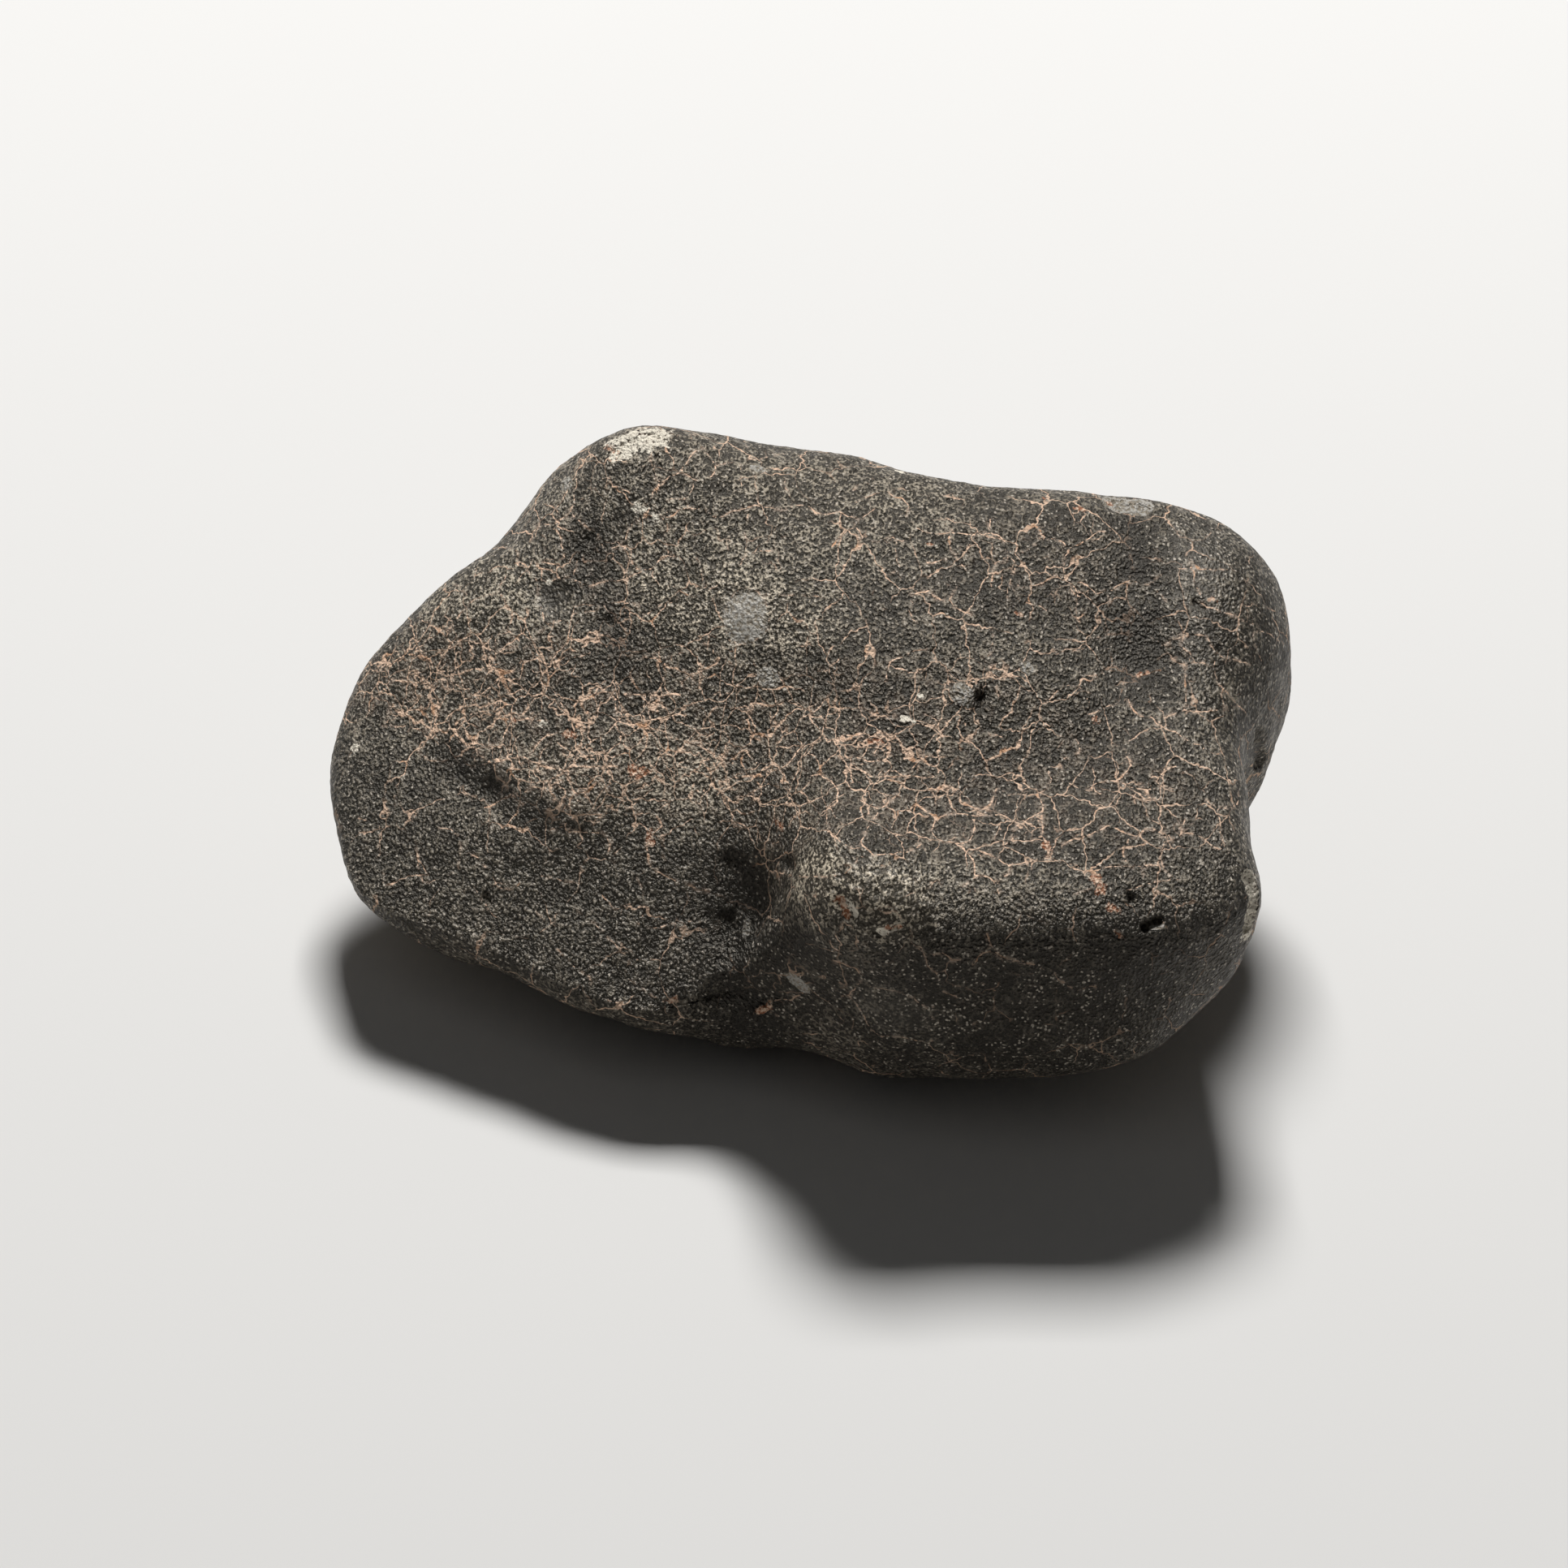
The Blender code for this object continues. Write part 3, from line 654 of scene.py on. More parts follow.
CREAM_PATCH = (0.15, 0.35)
RUST_GRAIN = (0.42, 0.60)
RUST_PATCH = (0.25, 0.60, 0, 0.8)
GLOSS = (0.35, 0.7, 0.58, 0.40)

# Where a net shows: a noise and the crust's own crazing are added up in these shares, and a net comes in
# over NET_ONSET of the sum. A line is solid in NET_CORE of its half width, and the noise that breaks it has
# NET_GAPS spots to a cell.
CRAZING_FROM_NOISE = 0.8
CRAZING_FROM_CRUST = 0.45
NET_ONSET = 0.12
NET_CORE = 0.55
NET_GAPS = 1.2

# How ragged the patches' edges are, how much colour a dark patch of painted shade keeps, and how much duller
# a crack is.
SOFT_EDGE = 0.7
HARD_EDGE = 3.2
DARKENING = 0.35
CRACK_DULLNESS = 0.4

# How high the noises stand and how deep the cells' rims lie, in mm, and the share of that which the
# smoothest crust keeps. Then how the crust reflects light.
FINE_HEIGHT = 0.31
MEDIUM_HEIGHT = 0.18
CELL_DEPTH = 0.11
LEAST_ROUGHNESS = 0.35
INDEX_OF_REFRACTION = 1.6
WARM_GLINT = (1.0, 0.91, 0.78, 1.0)


def camera_axes():
    """The camera's right, up and forward directions."""
    level_right = Vector((1, 0, 0))
    level_up = Vector((0, math.sin(LOOK_DOWN), math.cos(LOOK_DOWN)))
    forward = Vector((0, math.cos(LOOK_DOWN), -math.sin(LOOK_DOWN)))
    right = level_right * math.cos(CAMERA_ROLL) - level_up * math.sin(CAMERA_ROLL)
    up = level_right * math.sin(CAMERA_ROLL) + level_up * math.cos(CAMERA_ROLL)
    return right, up, forward


def sight_line(pixel):
    """The direction in which the camera sees a pixel of the photograph."""
    right, up, forward = camera_axes()
    across = (pixel[0] - PHOTO_SIDE / 2) / FOCAL_LENGTH_PX
    down = (pixel[1] - PHOTO_SIDE / 2) / FOCAL_LENGTH_PX
    return (forward + right * across - up * down).normalized()


def between(start, end, share):
    """The point this share of the way from start to end."""
    return [a + (b - a) * share for a, b in zip(start, end)]


class Surface:
    """The stone's surface as it is when this is made, to find pixels of the photograph on it."""

    def __init__(self, piece):
        corners = [tuple(vertex.co) for vertex in piece.data.vertices]
        faces = [tuple(face.vertices) for face in piece.data.polygons]
        self.tree = bvhtree.BVHTree.FromPolygons(corners, faces)

    def at(self, pixel):
        """The place on the stone that a pixel shows, and the surface's direction there. A pixel just past
        the outline gives the outline beside it."""
        for share in INWARD_SHARES:
            inner = between(pixel, STONE_MIDDLE_PX, share)
            place, normal, _, _ = self.tree.ray_cast(Vector(CAMERA_PLACE), sight_line(inner))
            if place is not None:
                return np.array(place), np.array(normal)
        raise RuntimeError(f"pixel {pixel} isn't near the stone")

    def distances(self, points, start, end):
        """How far each point is from the straight span between the places of two pixels."""
        start = self.at(start)[0]
        along = self.at(end)[0] - start
        length = max(float(along @ along), LEAST_SQUARE)
        share = np.clip((points - start) @ along / length, 0, 1)
        return np.linalg.norm(points - start - share[:, None] * along, axis=1)


def vertex_values(piece, name):
    """Three values for each vertex, such as its co or its normal, as an array."""
    values = np.zeros(len(piece.data.vertices) * 3)
    piece.data.vertices.foreach_get(name, values)
    return values.reshape(-1, 3)


def move_vertices(piece, places):
    """Puts each vertex at its new place."""
    piece.data.vertices.foreach_set("co", places.ravel())
    piece.data.update()


def ragged(points, distances, radius):
    """Distances made uneven round a mark with this radius in mm, so that its edge isn't smooth."""
    uneven = distances.copy()
    for index in np.flatnonzero(distances < RAGGED_REACH * radius * MM):
        jag = noise.noise(Vector(points[index] / (RAGGED_GRAIN * MM)))
        uneven[index] += RAGGED_AMOUNT * radius * MM * jag
    return uneven


def rounded_fall(distances, radius, squareness):
    """1 at the middle of a mark and 0 from its radius outwards."""
    share = np.clip(distances / radius, 0, 1)
    return (1 - share**squareness) ** 2


def apply_modifier(piece, kind, **values):
    """Adds a modifier with these values and applies it."""
    modifier = piece.modifiers.new(kind.lower(), kind)
    for name, value in values.items():
        setattr(modifier, name, value)
    bpy.ops.object.modifier_apply(modifier=modifier.name)


def displace(piece, kind, grain, height, middle, **texture_values):
    """Raises and lowers the surface by a procedural texture of this grain size, more where it is rough."""
    texture = bpy.data.textures.new(f"{kind.lower()} {grain / MM:.2f} mm", kind)
    texture.noise_scale = grain
    for name, value in texture_values.items():
        setattr(texture, name, value)
    apply_modifier(
        piece,
        "DISPLACE",
        texture=texture,
        texture_coords="LOCAL",
        strength=height,
        mid_level=middle,
        vertex_group="roughness",
    )


def refined_copy(levels):
    """A copy of the stone's solid as one smooth skin of quads, cut finer this many times."""
    bpy.ops.object.select_all(action="DESELECT")
    piece = bpy.data.objects.new("fusion_crust_stone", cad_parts[STONE_NODE].data.copy())
    bpy.context.scene.collection.objects.link(piece)
    bpy.context.view_layer.objects.active = piece
    piece.select_set(True)
    piece.data.materials.clear()
    bpy.ops.object.mode_set(mode="EDIT")
    bpy.ops.mesh.select_all(action="SELECT")
    bpy.ops.mesh.remove_doubles(threshold=SAME_PLACE)
    bpy.ops.mesh.customdata_custom_splitnormals_clear()
    bpy.ops.mesh.tris_convert_to_quads(face_threshold=math.pi / 3, shape_threshold=math.pi / 2)
    bpy.ops.mesh.normals_make_consistent(inside=False)
    bpy.ops.object.mode_set(mode="OBJECT")
    apply_modifier(piece, "SUBSURF", levels=levels, render_levels=levels)
    bpy.ops.object.shade_smooth()
    return piece


def crust_values(piece, surface):
    """The crust's roughness, crazing and pale factor at each vertex; the pale factor carries painted light
    and shade as well as the crust's own tone.
    """
    points = vertex_values(piece, "co")
    values = np.tile(np.array(USUAL_CRUST)[:, None], len(points))
    for _, start, end, radius, *own in AREAS:
        distances = surface.distances(points, start, end)
        share = rounded_fall(distances, AREA_SPREAD * radius * MM, AREA_SQUARENESS)
        values += share * (np.array(own)[:, None] - values)
    return values


def carve(piece, surface):
    """Presses the pits and raises the bosses that the photograph shows."""
    points = vertex_values(piece, "co")
    moved = points.copy()
    for _, start, end, radius, depth, squareness in RELIEF:
        direction = surface.at(start)[1] + surface.at(end)[1]
        direction /= np.linalg.norm(direction)
        distances = ragged(points, surface.distances(points, start, end), radius)
        moved -= direction * (rounded_fall(distances, radius * MM, squareness) * depth * MM)[:, None]
    move_vertices(piece, moved)


def roughen(piece, surface, lump_height, grain_height):
    """Gives the whole skin its lumps and grains."""
    steps = np.round(crust_values(piece, surface)[0] * STEPS_TO_ONE).astype(int)
    group = piece.vertex_groups.new(name="roughness")
    for step in range(ROUGHNESS_STEPS + 1):
        group.add(np.flatnonzero(steps == step).tolist(), step / ROUGHNESS_STEPS, "REPLACE")
    displace(piece, "CLOUDS", LUMP_SIZE * MM, lump_height, middle=0.6, noise_depth=2)
    displace(piece, "VORONOI", KNOB_SIZE * MM, lump_height * KNOB_SHARE, middle=0.4)
    displace(piece, "CLOUDS", GRAIN_SIZE * MM, grain_height, middle=0.5, noise_depth=1)
    piece.vertex_groups.clear()


def thin_out(piece, seen_share, hidden_share):
    """Fewer faces: more of them stay on the side that the photograph shows than below and behind."""
    forward = np.array(camera_axes()[2])
    for seen, share in ((True, seen_share), (False, hidden_share)):
        facing = vertex_values(piece, "normal") @ -forward > EDGE_ON
        mesh = piece.data
        mesh.polygons.foreach_set("select", np.zeros(len(mesh.polygons), bool))
        mesh.edges.foreach_set("select", np.zeros(len(mesh.edges), bool))
        mesh.vertices.foreach_set("select", facing == seen)
        bpy.ops.object.mode_set(mode="EDIT")
        bpy.ops.mesh.select_mode(type="VERT")
        bpy.ops.mesh.decimate(ratio=share)
        bpy.ops.object.mode_set(mode="OBJECT")


def keep_in_box(piece):
    """Keeps the finished surface inside the solid's own box."""
    low, high = (np.array(corner) for corner in CAD_BOX)
    move_vertices(piece, np.clip(vertex_values(piece, "co"), low, high))


def patch_field(piece, surface, patches):
    """1 in the middle of the nearest patch, 0 at its edge and below 0 outside."""
    points = vertex_values(piece, "co")
    field = np.full(len(points), -1.0)
    for _, start, end, radius in patches:
        field = np.maximum(field, 1 - surface.distances(points, start, end) / (radius * MM))
    return field


def crack_spans(surface, cracks):
    """Short straight spans along the cracks, each lying on the stone."""
    spans = []
    for route in itertools.chain(*cracks.values()):
        pixels = list(zip(route[::2], route[1::2]))
        trace = [surface.at(pixels[0])[0]]
        for start, end in zip(pixels, pixels[1:]):
            count = max(1, int(math.dist(start, end) / SPAN_PX))
            for share in np.linspace(1 / count, 1, count):
                trace.append(surface.at(between(start, end, share))[0])
        spans += [span for span in zip(trace, trace[1:]) if math.dist(*span) < LONGEST_SPAN * MM]
    return spans


def nearest_crack(piece, surface):
    """For each vertex the way to the nearest of the cracks in mm and its length, and that crack's width."""
    wide = crack_spans(surface, WIDE_CRACKS)
    spans = wide + crack_spans(surface, FINE_CRACKS)
    tree = kdtree.KDTree(len(spans))
    for index, (start, end) in enumerate(spans):
        tree.insert(Vector((start + end) / 2), index)
    tree.balance()
    points = vertex_values(piece, "co")
    ways = np.full((len(points), 4), FAR)
    widths = np.ones(len(points))
    for index, point in enumerate(points):
        _, nearest, distance = tree.find(Vector(point))
        if distance > REACH * MM:
            continue
        start, end = spans[nearest]
        along = end - start
        share = min(max(float((point - start) @ along / max(along @ along, LEAST_SQUARE)), 0), 1)
        way = (start + share * along - point) / MM
        ways[index] = (*way, np.linalg.norm(way))
        widths[index] = WIDE_WIDTH if nearest < len(wide) else FINE_WIDTH
    return ways, widths


def store_colour(piece, name, *columns):
    """Keeps four values for each vertex under this name, for the material to read."""
    attribute = piece.data.attributes.new(name, "FLOAT_COLOR", "POINT")
    attribute.data.foreach_set("color", np.stack(columns, axis=1).astype(np.float32).ravel())


class Nodes:
    """Shorthand for laying out a material's nodes."""

    def __init__(self, material):
        self.tree = material.node_tree

    def add(self, kind, inputs=(), **values):
        node = self.tree.nodes.new(kind)
        for name, value in values.items():
            setattr(node, name, value)
        for name, value in dict(inputs).items():
            self.put(node.inputs[name], value)
        return node

    def put(self, socket, value):
        if isinstance(value, bpy.types.NodeSocket):
            self.tree.links.new(value, socket)
        else:
            socket.default_value = value

    def math(self, operation, *values, clamp=False):
        node = self.add("ShaderNodeMath", operation=operation, use_clamp=clamp)
        for socket, value in zip(node.inputs, values):
            self.put(socket, value)
        return node.outputs[0]

    def vector(self, operation, *values, scale=None):
        node = self.add("ShaderNodeVectorMath", operation=operation)
        for socket, value in zip(node.inputs, values):
            self.put(socket, value)
        if scale is not None:
            self.put(node.inputs["Scale"], scale)
        return node.outputs["Value" if operation == "LENGTH" else "Vector"]

    def noise(self, place, per_mm, detail=3, roughness=0.55, output="Fac"):
        inputs = {"Vector": place, "Scale": per_mm, "Detail": detail, "Roughness": roughness}
        return self.add("ShaderNodeTexNoise", inputs).outputs[output]

    def cells(self, place, per_mm, feature="F1", output="Distance"):
        inputs = {"Vector": place, "Scale": per_mm}
        return self.add("ShaderNodeTexVoronoi", inputs, feature=feature).outputs[output]

    def step(self, value, low, high, start=0.0, end=1.0):
        """Runs smoothly from start to end as the value goes from low to high."""
        inputs = {"Value": value, "From Min": low, "From Max": high, "To Min": start, "To Max": end}
        return self.add("ShaderNodeMapRange", inputs, interpolation_type="SMOOTHSTEP").outputs["Result"]

    def mix(self, share, first, second):
        """Two colours mixed. The sockets are taken by their places, because several have the same name."""
        node = self.add("ShaderNodeMix", data_type="RGBA")
        for index, value in ((0, share), (6, first), (7, second)):
            self.put(node.inputs[index], value)
        return node.outputs[2]

    def attribute(self, name):
        """The three colours, the alpha and the vector of a stored attribute."""
        node = self.add("ShaderNodeAttribute", attribute_name=name)
        parts = self.add("ShaderNodeSeparateColor", {"Color": node.outputs["Color"]})
        return *parts.outputs, node.outputs["Alpha"], node.outputs["Vector"]

    def warp(self, vector, place, per_mm, amount, detail=3):
        """The vector with a noise added to it, up to about half this amount each way."""
        jag = self.noise(place, per_mm, detail=detail, output="Color")
        centred = self.vector("SUBTRACT", jag, (NOISE_MIDDLE,) * 3)
        return self.vector("ADD", vector, self.vector("SCALE", centred, scale=amount))

    def patch(self, colour, field, edge, turn, own_colour):
        """The colour with another one laid over it where the field and its ragged edge turn into a share."""
        return self.mix(self.step(self.math("ADD", field, edge), *turn), colour, own_colour)


def bare_crust(nodes, place, paleness_and_painted_light, settings):
    """The crust's colour without its cracks, and the noises that its grains follow."""
    fine = nodes.noise(place, FINE_NOISE, detail=2, roughness=0.5)
    medium = nodes.noise(place, MEDIUM_NOISE, detail=2)
    broad = nodes.noise(place, BROAD_NOISE, detail=2)
    grain = nodes.cells(place, GRAIN_CELLS)
    picked = nodes.cells(place, GRAIN_CELLS, output="Color")
    share = nodes.math("ADD", nodes.step(fine, *FINE_LIGHT), nodes.step(medium, *MEDIUM_LIGHT))
    share = nodes.math("ADD", share, nodes.step(broad, *BROAD_LIGHT))
    share = nodes.math("SUBTRACT", share, nodes.step(grain, *CELL_SHADE), clamp=True)
    colour = nodes.mix(share, settings.crust_dark, settings.crust_light)
    # The colour is scaled by the pale factor, which paints light on lit slopes and shade on walls and in
    # hollows.
    colour = nodes.vector("SCALE", colour, scale=paleness_and_painted_light)
    # A fleck lies at the middle of a cell, and it reaches farther where the fine noise is high.
    fleck = nodes.math("MULTIPLY_ADD", fine, -1.0, nodes.math("ADD", grain, NOISE_MIDDLE))
    fleck = nodes.math("MULTIPLY", nodes.step(fleck, *FLECK_CORE), nodes.step(picked, *FLECK_PICKED))
    return nodes.mix(fleck, colour, settings.pale_grain), fine, medium, grain


def crack_lines(nodes, place, crazing, width):
    """Nets of cracks in three sizes that show where the crust is crazed."""
    bent = nodes.warp(place, place, BEND_NOISE, NET_BEND)
    bent = nodes.warp(bent, place, KINK_NOISE, NET_KINK, detail=1)
    uneven = nodes.noise(place, CRAZING_NOISE, detail=3, roughness=0.7)
    shown = nodes.math("MULTIPLY", uneven, CRAZING_FROM_NOISE)
    shown = nodes.math("ADD", shown, nodes.math("MULTIPLY", crazing, CRAZING_FROM_CRUST))
    lines = 0.0
    for size, reach, low, strength in NETS:
        gap = nodes.math("MULTIPLY", nodes.cells(bent, 1 / size, feature="DISTANCE_TO_EDGE"), size)
        line = nodes.step(nodes.math("DIVIDE", gap, width), reach, reach * NET_CORE)
        whole = nodes.step(nodes.noise(place, NET_GAPS / size, detail=1), *NET_WHOLE)
        line = nodes.math("MULTIPLY", line, whole)
        line = nodes.math("MULTIPLY", line, nodes.step(shown, low, low + NET_ONSET, 0, strength))
        lines = nodes.math("MAXIMUM", lines, line)
    return lines


def traced_cracks(nodes, place, width, own_width):
    """The cracks that were traced from the photograph, and the dust beside them."""
    *_, length, way = nodes.attribute("crack")
    away = nodes.vector("LENGTH", nodes.warp(way, place, KINK_NOISE, TRACE_KINK, detail=1))
    line = nodes.math("DIVIDE", away, nodes.math("MULTIPLY", width, own_width))
    line = nodes.step(line, *TRACE_LINE)
    near = nodes.step(length, *TRACE_NEAR)
    dust = nodes.step(nodes.math("DIVIDE", away, own_width), *DUST_BESIDE)
    dust = nodes.math("MULTIPLY", dust, nodes.step(nodes.noise(place, DUST_NOISE, detail=3), *DUST_SPOTS))
    return nodes.math("MULTIPLY", line, near), nodes.math("MULTIPLY", dust, near)


def crazed_crust(nodes, place, colour, medium, settings):
    """The crust's colour with its stains, cracks and dust, and where the cracks are."""
    crazing, _, paleness_and_painted_light, own_width, _ = nodes.attribute("crust")
    width_noise = nodes.noise(place, WIDTH_NOISE, detail=3)
    width = nodes.step(width_noise, *CRACK_WIDTH)
    net = crack_lines(nodes, place, crazing, width)
    traced, dust = traced_cracks(nodes, place, width, own_width)
    crack = nodes.math("MAXIMUM", net, traced)
    stain = nodes.math("MULTIPLY", nodes.step(crazing, *STAIN_CRAZED), nodes.step(medium, *STAIN_SPOTS))
    colour = nodes.mix(stain, colour, settings.stain)
    colour = nodes.mix(dust, colour, settings.dust)
    vein = nodes.mix(nodes.step(width_noise, *VEIN_ORANGE), settings.vein_peach, settings.vein_orange)
    # The cracks take the painted shade of the pale factor too, so they are dimmer on the shaded walls.
    vein = nodes.vector("SCALE", vein, scale=nodes.step(paleness_and_painted_light, *VEIN_SHADE))
    return nodes.mix(crack, colour, vein), crack


def mineral_and_shade_patches(nodes, place, colour, fine, settings):
    """The colour with the patches of cream, grey and rusty mineral over it, and the dark patches of mostly
    painted shade, each with a ragged edge.
    """
    cream_field, grey_field, rust_field, dark_and_painted_shade_field, _ = nodes.attribute("minerals_and_painted_shade")
    ragged_noise = nodes.noise(place, EDGE_NOISE, detail=4, roughness=0.7)
    edge = nodes.math("SUBTRACT", ragged_noise, NOISE_MIDDLE)
    soft_edge = nodes.math("MULTIPLY", edge, SOFT_EDGE)
    hard_edge = nodes.math("MULTIPLY", edge, HARD_EDGE)
    grey = nodes.mix(nodes.step(fine, *GREY_GRAIN), settings.crust_light, settings.grey_grain)
    colour = nodes.patch(colour, grey_field, soft_edge, GREY_PATCH, grey)
    # Painted shade, mostly: the dark patches darken the colour in the hollows, the notch and on the front
    # wall.
    darker = nodes.vector("SCALE", colour, scale=DARKENING)
    colour = nodes.patch(colour, dark_and_painted_shade_field, soft_edge, DARK_PATCH, darker)
    cream = nodes.mix(nodes.step(fine, *CREAM_GRAIN), settings.stain, settings.cream)
    colour = nodes.patch(colour, cream_field, hard_edge, CREAM_PATCH, cream)
    rust = nodes.mix(nodes.step(fine, *RUST_GRAIN), settings.rust, settings.vein_peach)
    return nodes.patch(colour, rust_field, hard_edge, RUST_PATCH, rust)


def crust_bump(nodes, fine, medium, grain):
    """The small grains that stand out from the crust, less so where it is smooth. Heights are in mm."""
    _, roughness, *_ = nodes.attribute("crust")
    height = nodes.math("MULTIPLY", fine, FINE_HEIGHT)
    height = nodes.math("ADD", height, nodes.math("MULTIPLY", medium, MEDIUM_HEIGHT))
    height = nodes.math("SUBTRACT", height, nodes.math("MULTIPLY", grain, CELL_DEPTH))
    height = nodes.math("MULTIPLY", height, nodes.math("MAXIMUM", roughness, LEAST_ROUGHNESS))
    bump = nodes.add("ShaderNodeBump", {"Strength": 1.0, "Distance": MM, "Height": height})
    return bump.outputs["Normal"]


def crust_material(settings):
    """The dark granular crust with its cracks, chips and grains."""
    material = bpy.data.materials.new("cracked fusion crust")
    material.use_nodes = True
    nodes = Nodes(material)
    shader = material.node_tree.nodes["Principled BSDF"]
    coordinates = nodes.add("ShaderNodeTexCoord").outputs["Object"]
    place = nodes.vector("MULTIPLY", coordinates, tuple(share / MM for share in STRETCH))
    paleness_and_painted_light = nodes.attribute("crust")[2]
    colour, fine, medium, grain = bare_crust(nodes, place, paleness_and_painted_light, settings)
    colour, crack = crazed_crust(nodes, place, colour, medium, settings)
    colour = mineral_and_shade_patches(nodes, place, colour, fine, settings)
    dullness = nodes.math("MULTIPLY", crack, CRACK_DULLNESS)
    gloss = nodes.math("ADD", nodes.step(medium, *GLOSS), dullness, clamp=True)
    nodes.put(shader.inputs["Base Color"], colour)
    nodes.put(shader.inputs["Roughness"], gloss)
    nodes.put(shader.inputs["Normal"], crust_bump(nodes, fine, medium, grain))
    shader.inputs["IOR"].default_value = INDEX_OF_REFRACTION
    shader.inputs["Specular Tint"].default_value = WARM_GLINT
    return material


def make_stone(settings, crust_settings):
    """The stone: the refined, carved and roughened copy of its solid, with its crust."""
    piece = refined_copy(settings.refinement)
    surface = Surface(piece)
    carve(piece, surface)
    roughen(piece, surface, settings.lump_height, settings.grain_height)
    thin_out(piece, settings.seen_share, settings.hidden_share)
    keep_in_box(piece)
    surface = Surface(piece)
    fields = [patch_field(piece, surface, patches) for patches in (CREAM, GREY, RUST, DARK_AND_PAINTED_SHADE)]
    store_colour(piece, "minerals_and_painted_shade", *fields)
    roughness, crazing, paleness_and_painted_light = crust_values(piece, surface)
    ways, widths = nearest_crack(piece, surface)
    widths *= PLAIN_SHARE + CRAZED_SHARE * crazing
    store_colour(piece, "crust", crazing, roughness, paleness_and_painted_light, widths)
    store_colour(piece, "crack", *ways.T)
    piece.data.materials.append(crust_material(crust_settings))
    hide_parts(STONE_NODE)
    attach(piece, "root")


def make_floor(settings):
    """The plain pale floor that the stone lies on."""
    bpy.ops.object.select_all(action="DESELECT")
    bpy.ops.mesh.primitive_plane_add(size=settings.floor_size)
    floor = bpy.context.object
    floor.name = "pale_floor"
    material = bpy.data.materials.new("pale floor")
    material.use_nodes = True
    shader = material.node_tree.nodes["Principled BSDF"]
    shader.inputs["Base Color"].default_value = settings.floor_colour
    shader.inputs["Roughness"].default_value = FLOOR_ROUGHNESS
    floor.data.materials.append(material)


def make_light(name, power, azimuth, elevation, distance, size):
    """A square studio light that faces the stone."""
    bpy.ops.object.select_all(action="DESELECT")
    bpy.ops.object.light_add(type="AREA")
    light = bpy.context.object
    light.name = name
    light.data.size = size
    light.data.energy = power
    flat = math.cos(math.radians(elevation))
    turn = math.radians(azimuth)
    way = Vector((math.sin(turn) * flat, math.cos(turn) * flat, math.sin(math.radians(elevation))))
    light.location = way * distance
    light.rotation_euler = way.to_track_quat("Z", "Y").to_euler()


def make_surroundings(ambient):
    """Even white light from all round."""
    world = bpy.data.worlds.new("studio")
    world.use_nodes = True
    background = world.node_tree.nodes["Background"]
    background.inputs["Color"].default_value = SURROUNDINGS_COLOUR
    background.inputs["Strength"].default_value = ambient
    bpy.context.scene.world = world
    bpy.context.scene.view_settings.view_transform = "Standard"


def make_camera():
    """The camera that took the photograph."""
    bpy.ops.object.camera_add()
    camera = bpy.context.object
    camera.name = "camera"
    right, up, forward = camera_axes()
    turn = Matrix((right, up, -forward)).transposed().to_4x4()
    camera.matrix_world = Matrix.Translation(CAMERA_PLACE) @ turn
    camera.data.sensor_width = SENSOR / MM
    camera.data.lens = FOCAL_LENGTH_PX / PHOTO_SIDE * SENSOR / MM
    camera.data.clip_start = CLIP_START
    bpy.context.scene.camera = camera


def height_setting(name, description, height):
    return FloatProperty(name=name, description=description, default=height, unit="LENGTH", precision=5)


def share_setting(name, description, value):
    return FloatProperty(name=name, description=description, default=value, subtype="FACTOR", min=0, max=1)


def power_setting(name, description, value):
    return FloatProperty(name=name, description=description, default=value, unit="POWER", min=0)


def colour_setting(name, description, *colour):
    limits = {"subtype": "COLOR", "size": 4, "min": 0, "max": 1}
    return FloatVectorProperty(name=name, description=description, default=(*colour, 1), **limits)


class MeteoriteStoneSettings(bpy.types.PropertyGroup):
    refinement: IntProperty(
        name="Refinement", description="How many times the skin is cut finer", default=3, min=1, max=4
    )
    lump_height: height_setting("Lump height", "Height of the low lumps", 0.20 * MM)
    grain_height: height_setting("Grain height", "Height of the crust's grains", 0.12 * MM)
    seen_share: share_setting("Seen share", "Share of the faces kept on the photographed side", 0.41)
    hidden_share: share_setting("Hidden share", "Share of the faces kept below and behind", 0.165)


class MeteoriteCrustSettings(bpy.types.PropertyGroup):
    crust_dark: colour_setting("Crust, dark", "Crust between its grains", 0.012, 0.010, 0.007)
    crust_light: colour_setting("Crust, light", "Grains of the crust", 0.265, 0.229, 0.176)
    pale_grain: colour_setting("Pale grains", "Scattered pale grains", 0.55, 0.49, 0.41)
    stain: colour_setting("Stain", "Brown stain where the crust is crazed", 0.100, 0.062, 0.042)
    dust: colour_setting("Dust", "Pale dust beside the cracks", 0.62, 0.47, 0.36)
    vein_peach: colour_setting("Cracks, peach", "Filling of most cracks", 0.86, 0.60, 0.43)
    vein_orange: colour_setting("Cracks, orange", "Filling of the rustier cracks", 0.68, 0.38, 0.22)
    cream: colour_setting("Chips", "Bare mineral in the chips", 0.84, 0.77, 0.64)
    grey_grain: colour_setting("Grey grains", "Round grey grains in the crust", 0.46, 0.44, 0.40)
    rust: colour_setting("Rust", "Rust spots", 0.36, 0.12, 0.045)


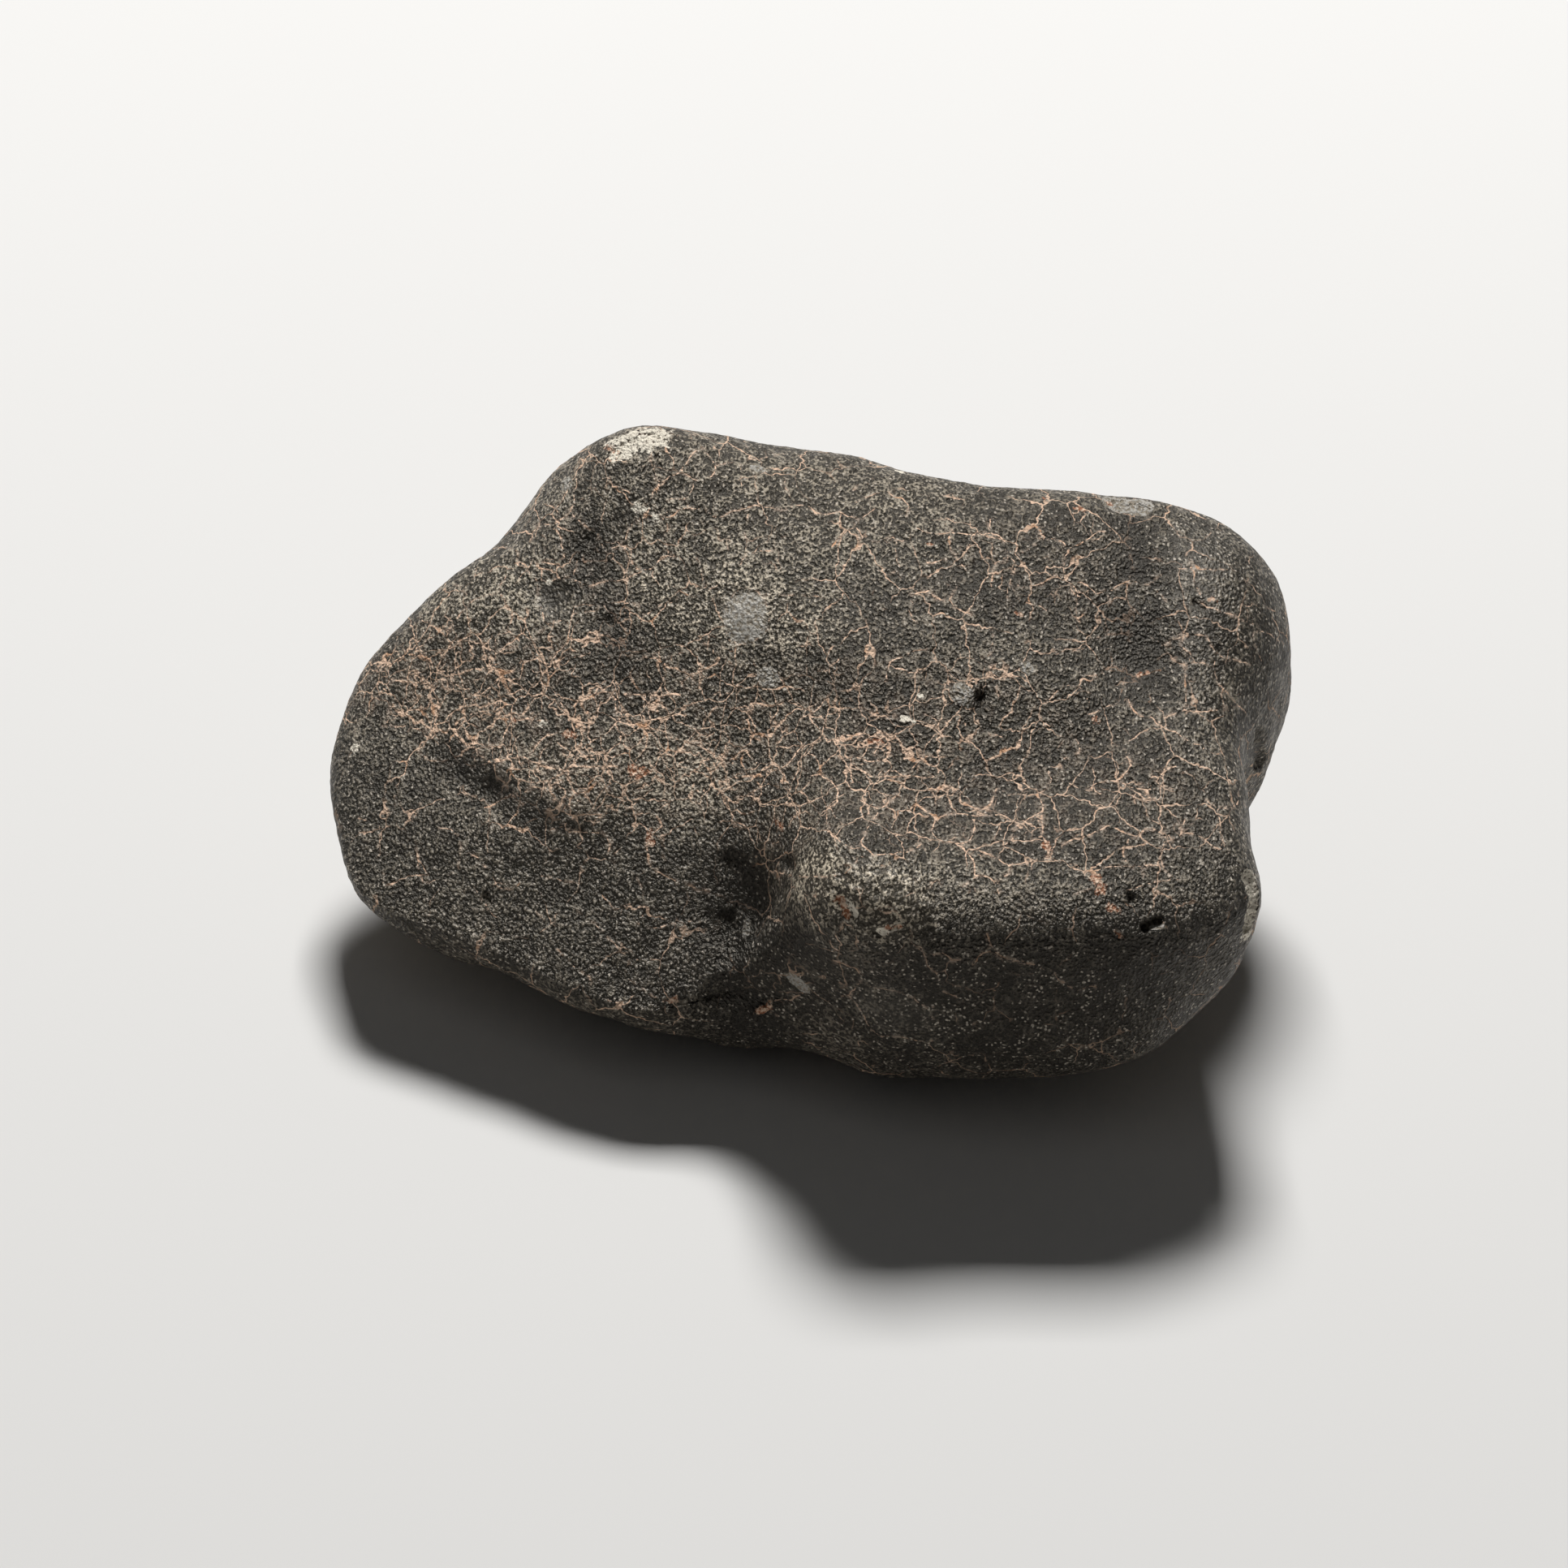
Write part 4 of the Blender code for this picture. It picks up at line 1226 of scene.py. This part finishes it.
class MeteoriteStageSettings(bpy.types.PropertyGroup):
    floor_size: FloatProperty(name="Floor size", description="Side of the floor", default=6.0, unit="LENGTH")
    floor_colour: colour_setting("Floor", "Colour of the floor", 0.74, 0.73, 0.71)
    main_power: power_setting("Main light", "Power of the light behind the stone", 9.8)
    fill_power: power_setting("Fill light", "Power of the light beside the camera", 0.3)
    ambient: FloatProperty(name="Ambient", description="Strength of the light from all round", default=0.03)


class METEORITE_OT_stone(bpy.types.Operator):
    """Makes the stone's fine surface and its crust"""

    bl_idname = "meteorite.stone"
    bl_label = "Stone"

    def execute(self, context):
        make_stone(context.scene.meteorite_stone, context.scene.meteorite_crust)
        return {"FINISHED"}


class METEORITE_OT_stage(bpy.types.Operator):
    """Makes the floor, the lights and the camera"""

    bl_idname = "meteorite.stage"
    bl_label = "Stage"

    def execute(self, context):
        settings = context.scene.meteorite_stage
        make_floor(settings)
        make_light("main light", settings.main_power, **MAIN_LIGHT)
        make_light("fill light", settings.fill_power, **FILL_LIGHT)
        make_surroundings(settings.ambient)
        make_camera()
        return {"FINISHED"}


class METEORITE_PT_panel(bpy.types.Panel):
    bl_label = "Meteorite"
    bl_idname = "METEORITE_PT_panel"
    bl_space_type = "VIEW_3D"
    bl_region_type = "UI"
    bl_category = "Meteorite"

    def draw(self, context):
        scene = context.scene
        for settings in (scene.meteorite_stone, scene.meteorite_crust, scene.meteorite_stage):
            box = self.layout.box()
            for name in settings.bl_rna.properties.keys():
                if name not in ("rna_type", "name"):
                    box.prop(settings, name)
        self.layout.operator("meteorite.stone")
        self.layout.operator("meteorite.stage")


CLASSES = (
    MeteoriteStoneSettings,
    MeteoriteCrustSettings,
    MeteoriteStageSettings,
    METEORITE_OT_stone,
    METEORITE_OT_stage,
    METEORITE_PT_panel,
)


def register():
    for each in CLASSES:
        bpy.utils.register_class(each)
    bpy.types.Scene.meteorite_stone = PointerProperty(type=MeteoriteStoneSettings)
    bpy.types.Scene.meteorite_crust = PointerProperty(type=MeteoriteCrustSettings)
    bpy.types.Scene.meteorite_stage = PointerProperty(type=MeteoriteStageSettings)


def unregister():
    del bpy.types.Scene.meteorite_stage
    del bpy.types.Scene.meteorite_crust
    del bpy.types.Scene.meteorite_stone
    for each in reversed(CLASSES):
        bpy.utils.unregister_class(each)


def main():
    register()
    bpy.ops.meteorite.stage()
    bpy.ops.meteorite.stone()


if __name__ == "__main__":
    main()
